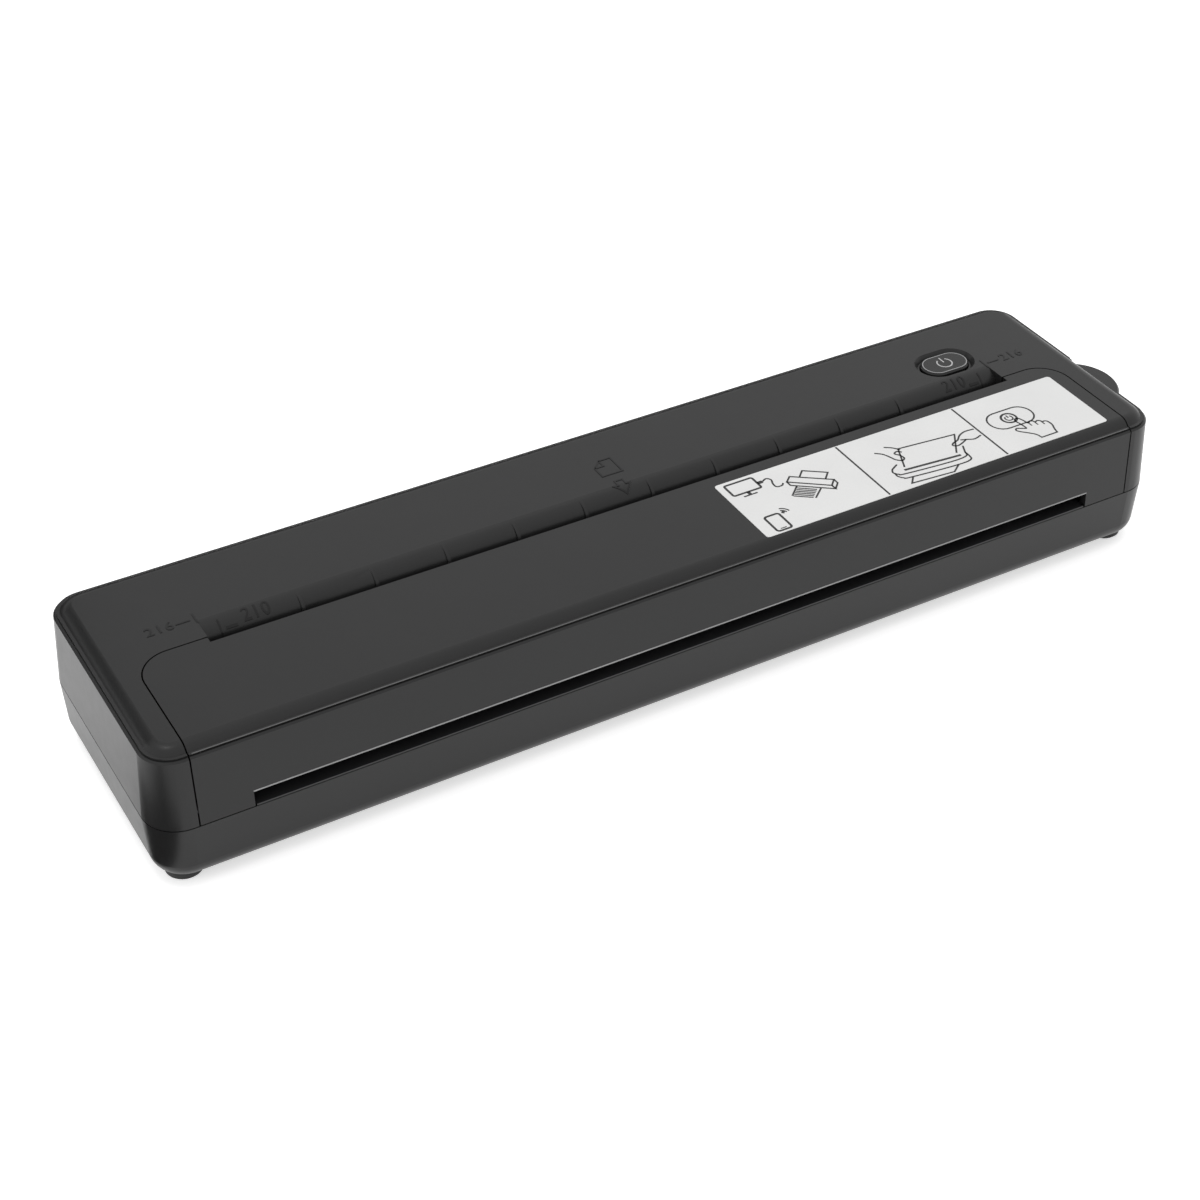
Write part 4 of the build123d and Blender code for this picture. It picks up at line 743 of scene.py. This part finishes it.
def smooth_line(points):
    """A flowing line through points, in six short pieces from each to the next."""
    path = [Vector(point) for point in points]
    last = len(path) - 1
    line = []
    for index in range(last):
        a, b = path[max(index - 1, 0)], path[index]
        c, d = path[index + 1], path[min(index + 2, last)]
        for step in range(6):
            t = step / 6
            spot = (b * 2 + (c - a) * t + (a * 2 - b * 5 + c * 4 - d) * t * t
                    + (b * 3 - a - c * 3 + d) * t ** 3)
            line.append(tuple(spot / 2))
    line.append(tuple(path[-1]))
    return line


def round_box(low, high, radius):
    """Points of a rectangle with round corners."""
    (x0, y0), (x1, y1) = low, high
    x0, x1, y0, y1 = x0 + radius, x1 - radius, y0 + radius, y1 - radius
    points = []
    for turn, corner in enumerate(((x1, y1), (x0, y1), (x0, y0), (x1, y0))):
        points += arc(corner, radius, 90 * turn, 90 * (turn + 1), 6)
    return points


def divided(start, end):
    """Points along a straight line, close enough to follow a rounded surface."""
    start, end = Vector(start), Vector(end)
    count = max(1, math.ceil((end - start).length / PATH_STEP))
    return [tuple(start.lerp(end, index / count)) for index in range(count + 1)]


# ---------------- moulded marks on the top
def top_surface(y):
    """Height of the top at a y in millimetres: flat, then rounded down into the inlet."""
    inside = max(0.0, RAMP_START_Y - y)
    return TOP_Z - (RAMP_R - math.sqrt(max(0.0, RAMP_R ** 2 - inside ** 2))) * MM


def laid_on_top(mesh):
    """Moves a flat drawing from the body's middle onto the top and down the inlet's shoulder."""
    for vertex in mesh.vertices:
        vertex.co.z += top_surface(vertex.co.y / MM)
        vertex.co.x += BODY_X
    return mesh


def mark_line(bm, points, closed=False):
    """One raised line of a moulded mark."""
    stroke(bm, points, MARK_STROKE, -MARK_SINK * MM, MARK_HEIGHT, closed)


def sheet_width_mark(bm, bar_x, dash_x, bar_y):
    """A bar at the sheet's edge and the dash that leads to its number."""
    mark_line(bm, divided((bar_x, bar_y[0]), (bar_x, bar_y[1])))
    dash_y = (bar_y[0] + bar_y[1]) / 2 - DASH_DROP
    mark_line(bm, divided((dash_x[0], dash_y), (dash_x[1], dash_y)))


def page_mark(bm):
    """Page with a folded corner, and the arrow that shows which way it goes in."""
    page = [(-1.4, 11.7), (4.1, 11.7), (4.1, 17.9), (1.0, 17.9), (-1.4, 15.5)]
    mark_line(bm, page, closed=True)
    mark_line(bm, [(1.0, 17.9), (1.0, 15.5), (-1.4, 15.5)])
    arrow = [(0.05, 8.6), (2.15, 8.6), (2.15, 6.7), (3.3, 6.7), (2.2, 5.4), (1.1, 4.1), (0.0, 5.4),
             (-1.1, 6.7), (0.05, 6.7)]
    mark_line(bm, arrow, closed=True)


def numerals(text, centre):
    """Raised numerals as a mesh, centred on a point in millimetres."""
    data = bpy.data.curves.new("numerals", "FONT")
    data.body = text
    data.size = NUMERAL_HEIGHT * FONT_SIZE * MM
    data.extrude = FONT_RISE * MM
    data.offset = FONT_WEIGHT * MM
    data.space_character = FONT_SPACING
    data.align_x = "CENTER"
    data.align_y = "CENTER"
    mesh = plain_mesh(placed_object("numerals", data))
    for vertex in mesh.vertices:
        vertex.co.x += centre[0] * MM
        vertex.co.y += centre[1] * MM
    return mesh


def make_top_marks():
    """The bars and numbers of both sheet widths, and the page with its arrow."""
    bm = bmesh.new()
    for bar_x, dash_x, bar_y in SHEET_MARKS:
        sheet_width_mark(bm, bar_x, dash_x, bar_y)
    page_mark(bm)
    numbers = [numerals(text, centre) for text, centre in NUMERALS]
    cuts = [NARROW_BAR_Y[0] + CUT_STEP * index for index in range(CUT_COUNT)]
    marks = laid_on_top(joined([finished_mesh(bm), *numbers], cuts))
    mesh_piece("moulded_sheet_marks", marks, SHADED_MARK_PLASTIC, "housing")


def make_power_sign():
    """Broken ring with a bar, printed on the button."""
    x = (BUTTON_LOW.x + BUTTON_HIGH.x) / 2 / MM
    y = (BUTTON_LOW.y + BUTTON_HIGH.y) / 2 / MM
    bm = bmesh.new()
    bar = [(x, y + end) for end in SIGN_BAR_Y]
    for points in (arc((x, y), SIGN_RING_R, *SIGN_RING_ENDS, 40), bar):
        stroke(bm, points, SIGN_STROKE, BUTTON_HIGH.z - PRINT_SINK * MM, PRINT_HEIGHT)
    mesh_piece("printed_power_sign", finished_mesh(bm), PALE_PRINT, "button")


# ---------------- line art of the label, in its own millimetres
def draw_screen(line):
    """Screen on its foot, with a plain cable to the printer."""
    line(round_box((2.0, 17.7), (9.8, 22.3), 0.5), closed=True, width=0.6)
    line([(5.9, 17.7), (5.9, 16.6)], width=0.9)
    line([(4.0, 16.4), (7.8, 16.4)])
    line([(9.8, 19.6), (11.2, 19.6)], width=1.1)
    cable = [(11.2, 19.6), (12.6, 20.2), (13.4, 19.2), (12.9, 17.6), (13.0, 16.2), (14.4, 16.0),
             (15.2, 16.7)]
    line(smooth_line(cable))


def draw_printer(line):
    """Printer with a sheet going in behind and coming out in front."""
    line([(16.2, 16.6), (18.0, 18.2), (26.6, 12.0), (24.8, 10.2)], closed=True)
    line([(16.2, 16.6), (16.2, 15.0), (24.8, 8.6), (24.8, 10.2)])
    line([(24.8, 8.6), (26.6, 10.4), (26.6, 12.0)])
    line([(19.9, 16.8), (22.0, 18.8), (27.0, 15.2), (25.0, 13.2)])
    line([(17.4, 14.1), (14.2, 11.2)])
    line([(18.6, 7.8), (22.0, 10.6)])
    for index in range(6):
        shift = 0.52 * index
        printed = [(14.4 + shift, 11.0 + shift * 0.9), (18.2 + shift, 8.2 + shift * 0.88)]
        line(printed, width=0.4)


def draw_phone(line):
    """Phone that sends to the printer."""
    line(round_box((3.4, 0.8), (7.4, 7.0), 0.7), closed=True, width=0.6)
    line([(4.6, 1.5), (6.2, 1.5)], width=0.3)
    line([(8.3, 6.4), (8.9, 7.0)], width=0.8)
    for radius in (1.5, 2.3):
        line(arc((8.0, 6.1), radius, 12, 78, 6), width=0.4)


def draw_feeding(line):
    """Two hands lead a sheet into the printer."""
    upper_rim = [(41.2, 8.6), (40.6, 7.4), (41.4, 6.2), (43.0, 5.6), (55.4, 4.4), (60.2, 4.6),
                 (61.0, 6.0)]
    line(smooth_line(upper_rim))
    lower_rim = [(40.8, 7.0), (40.7, 5.6), (41.6, 4.4), (43.2, 3.8), (55.6, 2.6), (60.2, 2.8),
                 (61.0, 4.4), (61.0, 6.0)]
    line(smooth_line(lower_rim))
    line([(41.2, 8.6), (43.4, 9.8)])
    line([(61.0, 6.0), (62.2, 8.6)])
    line([(43.6, 7.0), (59.4, 5.6)], width=0.7)
    line([(44.4, 8.0), (47.6, 15.2), (63.4, 13.6), (59.0, 6.8)])
    line([(43.8, 3.7), (42.0, 1.6), (53.8, 0.6), (56.4, 2.5)])
    left_hand = [(41.4, 16.4), (43.0, 15.0), (43.8, 13.2), (44.4, 11.6), (45.6, 10.6), (46.6, 11.2),
                 (46.4, 12.6), (45.6, 13.8), (46.6, 14.4), (47.6, 13.6)]
    line(smooth_line(left_hand))
    line(smooth_line([(44.9, 17.4), (46.6, 16.2), (47.8, 14.6)]))
    right_hand = [(69.0, 13.2), (66.4, 13.4), (64.2, 12.6), (62.6, 11.2), (60.8, 10.6), (60.2, 9.8),
                  (61.2, 9.2), (62.8, 9.6), (64.6, 10.4)]
    line(smooth_line(right_hand))
    line(smooth_line([(68.9, 10.2), (66.6, 9.6), (64.6, 10.4), (63.2, 10.9)]))


def draw_pressing(line):
    """A finger on the button."""
    line(round_box((73.6, 9.2), (86.4, 16.4), 3.5), closed=True)
    line(arc((79.6, 12.9), 2.0, 0, 360, 24)[:-1], closed=True, width=0.6)
    line(arc((79.6, 12.9), 1.0, 130, 410, 14), width=0.4)
    line([(79.6, 13.1), (79.6, 14.2)], width=0.4)
    fingers = [(80.6, 11.9), (81.5, 11.7), (82.0, 10.6), (82.4, 8.8), (83.2, 9.3), (84.0, 8.9),
               (84.2, 8.3), (85.0, 8.6), (85.7, 8.1), (85.8, 7.5), (86.5, 7.6), (87.1, 7.0),
               (87.2, 5.4), (86.6, 3.8), (86.2, 2.2)]
    line(smooth_line(fingers))
    thumb = [(80.6, 11.9), (80.2, 11.0), (80.5, 9.2), (80.6, 7.2), (79.6, 7.6), (78.4, 8.2),
             (77.8, 7.6), (78.4, 6.6), (79.8, 5.2), (81.0, 3.8), (81.4, 2.2)]
    line(smooth_line(thumb))
    for x, low, high in ((82.5, 7.4, 8.8), (84.1, 7.0, 8.4), (85.7, 6.4, 7.6)):
        line([(x, high), (x + 0.05, low)], width=0.36)
    line([(81.2, 2.1), (86.4, 2.1)])


def make_label_art():
    """The label's two dividers and its small pictures, printed on the cover's label."""
    bm = bmesh.new()
    left, front = LABEL_LOW.x / MM, LABEL_LOW.y / MM

    def line(points, width=LABEL_STROKE, closed=False):
        placed = [(left + u, front + v) for u, v in points]
        stroke(bm, placed, width, LABEL_HIGH.z - PRINT_SINK * MM, PRINT_HEIGHT, closed)

    for divider in DIVIDER_X:
        line([(divider, end) for end in DIVIDER_Y], width=DIVIDER_STROKE)
    for draw in (draw_screen, draw_printer, draw_phone, draw_feeding, draw_pressing):
        draw(line)
    mesh_piece("printed_label_art", finished_mesh(bm), INK, "front_cover")


# ---------------- edges and small fittings
def half_round(x_ends, y, z, bulge, half_height):
    """A half-round line along the front, its flat side against the wall; all in millimetres."""
    bm = bmesh.new()
    ends = []
    for x in x_ends:
        ring = []
        for index in range(HALF_ROUND_STEPS + 1):
            angle = math.radians(90 + 180 * index / HALF_ROUND_STEPS)
            ring.append(bm.verts.new((x * MM, (y + bulge * math.cos(angle)) * MM,
                                      (z + half_height * math.sin(angle)) * MM)))
        ends.append(ring)
    left, right = ends
    for index, corner in enumerate(left):
        after = (index + 1) % len(left)
        bm.faces.new((corner, left[after], right[after], right[index]))
    bm.faces.new(left[::-1])
    bm.faces.new(right)
    return finished_mesh(bm)


def make_slot_edge():
    """The half-round edge over which the sheet leaves, light grey as a painted highlight."""
    x_ends = [x + BODY_X / MM for x in SLOT_X]
    edge = half_round(x_ends, SLOT_EDGE_Y, SLOT_EDGE_Z, SLOT_EDGE_BULGE, SLOT_EDGE_HALF)
    mesh_piece("slot_edge_painted_highlight", edge, PAINTED_HIGHLIGHT_EDGE, "front_cover")


def make_rim_line():
    """The fine bead along the step below the cover's crown, lighter than the cover as a painted
    highlight line.
    """
    low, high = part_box("front_cover")
    x_ends = (low.x / MM + RIM_LINE_INSET, high.x / MM - RIM_LINE_INSET)
    bead = half_round(x_ends, RIM_LINE_Y, RIM_LINE_Z, RIM_LINE_R, RIM_LINE_R)
    mesh_piece("cover_rim_painted_highlight", bead, PAINTED_HIGHLIGHT_RIM, "front_cover")


def make_button_edge():
    """A light line round the button's bevel, as a painted highlight."""
    low, high = BUTTON_LOW + BUTTON_BEVEL * MM, BUTTON_HIGH - BUTTON_BEVEL * MM
    radius = (high.y - low.y) / 2 / MM - BUTTON_EDGE_INSET
    y = (low.y + high.y) / 2 / MM
    left = low.x / MM + BUTTON_EDGE_INSET + radius
    right = high.x / MM - BUTTON_EDGE_INSET - radius
    outline = arc((right, y), radius, -90, 90, 20) + arc((left, y), radius, 90, 270, 20)
    bm = bmesh.new()
    foot_z = BUTTON_HIGH.z - BUTTON_EDGE_SINK * MM
    stroke(bm, outline, BUTTON_EDGE_STROKE, foot_z, BUTTON_EDGE_HEIGHT, closed=True)
    mesh_piece("button_edge_painted_highlight", finished_mesh(bm), PAINTED_HIGHLIGHT_EDGE, "button")


def make_screws():
    """Case screws and board screws with their cross recesses."""
    tree = screw_tree()
    steel = MATERIALS["zinc_screw"]
    for node, (head_height, shank_radius) in SCREWS.items():
        meshes = []
        for low, high in solids_of(node):
            points_down = node == "case_screws" or low.z > BUTTON_BOARD_Z * MM
            head_face = low.z if points_down else high.z
            radius = (high.x - low.x) / 2
            place = Vector(((low.x + high.x) / 2, (low.y + high.y) / 2, head_face))
            meshes.append(grown(tree, [place], [], steel, {
                "Head radius": radius,
                "Head height": head_height * MM,
                "Recess length": radius * RECESS_LENGTH,
                "Recess width": radius * RECESS_WIDTH,
                "Recess depth": head_height * RECESS_DEPTH * MM,
                "Shank radius": shank_radius * MM,
                "Shank length": high.z - low.z - head_height * MM,
                "Turn": (math.pi if points_down else 0.0, 0.0, 0.0)}))
        screws = mesh_piece("recessed_" + node, joined(meshes), steel, "housing")
        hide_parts(node)


def make_springs():
    """The head's leaf springs, welded into a piece with a mesh of its own. On the printer they give
    way when the head is pressed down.
    """
    mesh = mesh_from(welded("head_springs"))
    steel = MATERIALS["spring_steel"]
    springs = mesh_piece("flexing_head_springs", mesh, steel, "housing")
    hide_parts("head_springs")
    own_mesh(springs)


def make_chip_legs():
    """Bent legs along two sides of every package on the main board."""
    pitch = LEG_PITCH * MM
    meshes = []
    for low, high in solids_of("board_components"):
        count = int((high.y - low.y - pitch) / pitch) + 1
        start = row_start(low.y, high.y, pitch, count)
        lift = min(LEG_RISE * MM, (high.z - low.z) * 0.5)
        heights = (lift, lift, LEG_FOOT_Z * MM, LEG_FOOT_Z * MM)
        for side, out in ((low.x, -1), (high.x, 1)):
            path = [(side + out * bend * MM, start, low.z + height)
                    for bend, height in zip(LEG_BENDS, heights)]
            meshes.append(strips(path, (LEG_WIDTH, LEG_THICKNESS), count, (0.0, pitch, 0.0),
                                 TINNED_LEGS))
    mesh_piece("soldered_chip_legs", joined(meshes), TINNED_LEGS, "housing")


def make_port_contacts():
    """Twelve gold contacts on each side of the port's tongue."""
    low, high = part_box("usb_c_port")
    pitch = CONTACT_PITCH * MM
    start = row_start(low.y, high.y, pitch, CONTACT_COUNT)
    meshes = []
    for side in (-1, 1):
        height = (low.z + high.z) / 2 + side * CONTACT_OFFSET * MM
        path = [(low.x + reach * MM, start, height) for reach in CONTACT_REACH]
        meshes.append(strips(path, (CONTACT_WIDTH, CONTACT_THICKNESS), CONTACT_COUNT,
                             (0.0, pitch, 0.0), GOLD_PADS))
    mesh_piece("port_contacts", joined(meshes), GOLD_PADS, "housing")


def make_ribbon_traces():
    """Copper traces that show through the flat cable's film."""
    low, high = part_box("head_ribbon")
    rise, pitch = TRACE_RISE * MM, TRACE_PITCH * MM
    start = row_start(low.x, high.x, pitch, TRACE_COUNT)
    front, rear, bottom = low.y + rise, high.y - rise, low.z + rise
    path = [(start, front, high.z - TRACE_FRONT_END * MM), (start, front, bottom),
            (start, rear, bottom), (start, rear, low.z + TRACE_REAR_END * MM)]
    traces = strips(path, (TRACE_WIDTH, TRACE_THICKNESS), TRACE_COUNT, (pitch, 0.0, 0.0),
                    TRACE_COPPER)
    mesh_piece("ribbon_traces", traces, TRACE_COPPER, "housing")


def make_heater_line():
    """The dark glazed line of heaters under the roller."""
    head_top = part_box("thermal_head")[1].z
    roller_low, roller_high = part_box("platen_rubber")
    y = (roller_low.y + roller_high.y) / 2 / MM
    ends = [(roller_low.x / MM + HEATER_INSET, y), (roller_high.x / MM - HEATER_INSET, y)]
    bm = bmesh.new()
    stroke(bm, ends, HEATER_WIDTH, head_top - HEATER_SINK * MM, HEATER_HEIGHT)
    mesh_piece("heater_line", finished_mesh(bm), HEATER_GLAZE, "print_head")


# ---------------- camera, light and floor
def place_camera():
    """The camera, turned, raised and rolled about the middle of the top."""
    turn, rise, roll = CAMERA_TURN, CAMERA_RISE, CAMERA_ROLL
    back = Vector((math.sin(turn) * math.cos(rise), -math.cos(turn) * math.cos(rise),
                   math.sin(rise)))
    level = Vector((math.cos(turn), math.sin(turn), 0.0))
    upright = back.cross(level)
    right = level * math.cos(roll) + upright * math.sin(roll)
    up = upright * math.cos(roll) - level * math.sin(roll)
    place = (CAMERA_CENTRE + right * CAMERA_SHIFT_RIGHT + up * CAMERA_SHIFT_UP
             + back * CAMERA_DISTANCE)
    data = bpy.data.cameras.new("camera")
    data.lens = LENS_MM
    data.sensor_width = SENSOR_MM
    data.sensor_height = SENSOR_MM
    data.sensor_fit = "AUTO"
    data.clip_start, data.clip_end = CAMERA_NEAR, CAMERA_FAR
    camera = placed_object("camera", data)
    turned = Matrix((right, up, back)).transposed().to_4x4()
    camera.matrix_world = Matrix.Translation(place) @ turned
    bpy.context.scene.camera = camera


def softbox(name, place, target, size, watts):
    """A rectangular lamp that faces the target."""
    data = bpy.data.lights.new(name, "AREA")
    data.shape = "RECTANGLE"
    data.size, data.size_y = size
    data.energy = watts
    lamp = placed_object(name, data)
    place = Vector(place)
    facing = (Vector(target) - place).to_track_quat("-Z", "Y").to_matrix().to_4x4()
    lamp.matrix_world = Matrix.Translation(place) @ facing
    return lamp


def seen_ray(tree):
    """1 for rays that show the background: from the camera, or by reflection or through glass."""
    path = tree.nodes.new("ShaderNodeLightPath")
    total = path.outputs["Is Camera Ray"]
    for other in ("Is Glossy Ray", "Is Transmission Ray"):
        adder = tree.nodes.new("ShaderNodeMath")
        adder.operation = "MAXIMUM"
        tree.links.new(total, adder.inputs[0])
        tree.links.new(path.outputs[other], adder.inputs[1])
        total = adder.outputs[0]
    return total


def where_seen(tree, unseen, seen, output):
    """One shader for rays that only bring light, another where the surface is seen."""
    mix = tree.nodes.new("ShaderNodeMixShader")
    tree.links.new(seen_ray(tree), mix.inputs["Fac"])
    tree.links.new(unseen, mix.inputs[1])
    tree.links.new(seen, mix.inputs[2])
    tree.links.new(mix.outputs["Shader"], output.inputs["Surface"])


def light_world():
    """White surroundings, dimmer as a lamp than they look."""
    world = bpy.data.worlds.new("studio")
    world.use_nodes = True
    tree = world.node_tree
    tree.nodes.clear()
    output = tree.nodes.new("ShaderNodeOutputWorld")
    backgrounds = []
    for strength in (WORLD_LIGHT, WORLD_SEEN):
        background = tree.nodes.new("ShaderNodeBackground")
        background.inputs["Color"].default_value = (1, 1, 1, 1)
        background.inputs["Strength"].default_value = strength
        backgrounds.append(background.outputs["Background"])
    where_seen(tree, *backgrounds, output)
    bpy.context.scene.world = world


def white_floor():
    """A wide pale floor that stays white to the camera and keeps a soft contact shadow."""
    bm = bmesh.new()
    reach = FLOOR_REACH
    prism(bm, [(-reach, -reach), (reach, -reach), (reach, reach), (-reach, reach)],
          -FLOOR_THICKNESS, 0.0)
    mesh = finished_mesh(bm)
    floor = placed_object("floor", mesh)
    material, tree, shader = dull_material("white_floor", FLOOR_GREY, 0.9)
    output = next(node for node in tree.nodes if node.type == "OUTPUT_MATERIAL")
    glow = tree.nodes.new("ShaderNodeEmission")
    glow.inputs["Strength"].default_value = FLOOR_GLOW
    add = tree.nodes.new("ShaderNodeAddShader")
    tree.links.new(shader.outputs["BSDF"], add.inputs[0])
    tree.links.new(glow.outputs["Emission"], add.inputs[1])
    where_seen(tree, shader.outputs["BSDF"], add.outputs["Shader"], output)
    mesh.materials.append(material)


def flag(name, corners):
    """A dark studio panel that only reflections see; it darkens an edge without shading it."""
    bm = bmesh.new()
    bm.faces.new([bm.verts.new(Vector(corner) * MM) for corner in corners])
    mesh = mesh_from(bm)
    mesh.materials.append(dull_material("black_studio_cloth", CLOTH_GREY, 1.0)[0])
    panel = placed_object(name, mesh)
    panel.visible_camera = False
    panel.visible_diffuse = False
    panel.visible_shadow = False


def light_studio():
    """Three large lamps that reflections don't show, one small one that they do, and the panels."""
    for settings in SOFTBOXES:
        softbox(*settings).visible_glossy = False
    softbox(*SMALL_LAMP)
    for name, corners in FLAGS.items():
        flag(name, corners)


finish_nodes()
make_top_marks()
make_power_sign()
make_label_art()
make_slot_edge()
make_rim_line()
make_button_edge()
make_screws()
make_springs()
make_chip_legs()
make_port_contacts()
make_ribbon_traces()
make_heater_line()
place_camera()
light_world()
white_floor()
light_studio()
bpy.context.scene.view_settings.view_transform = "Standard"
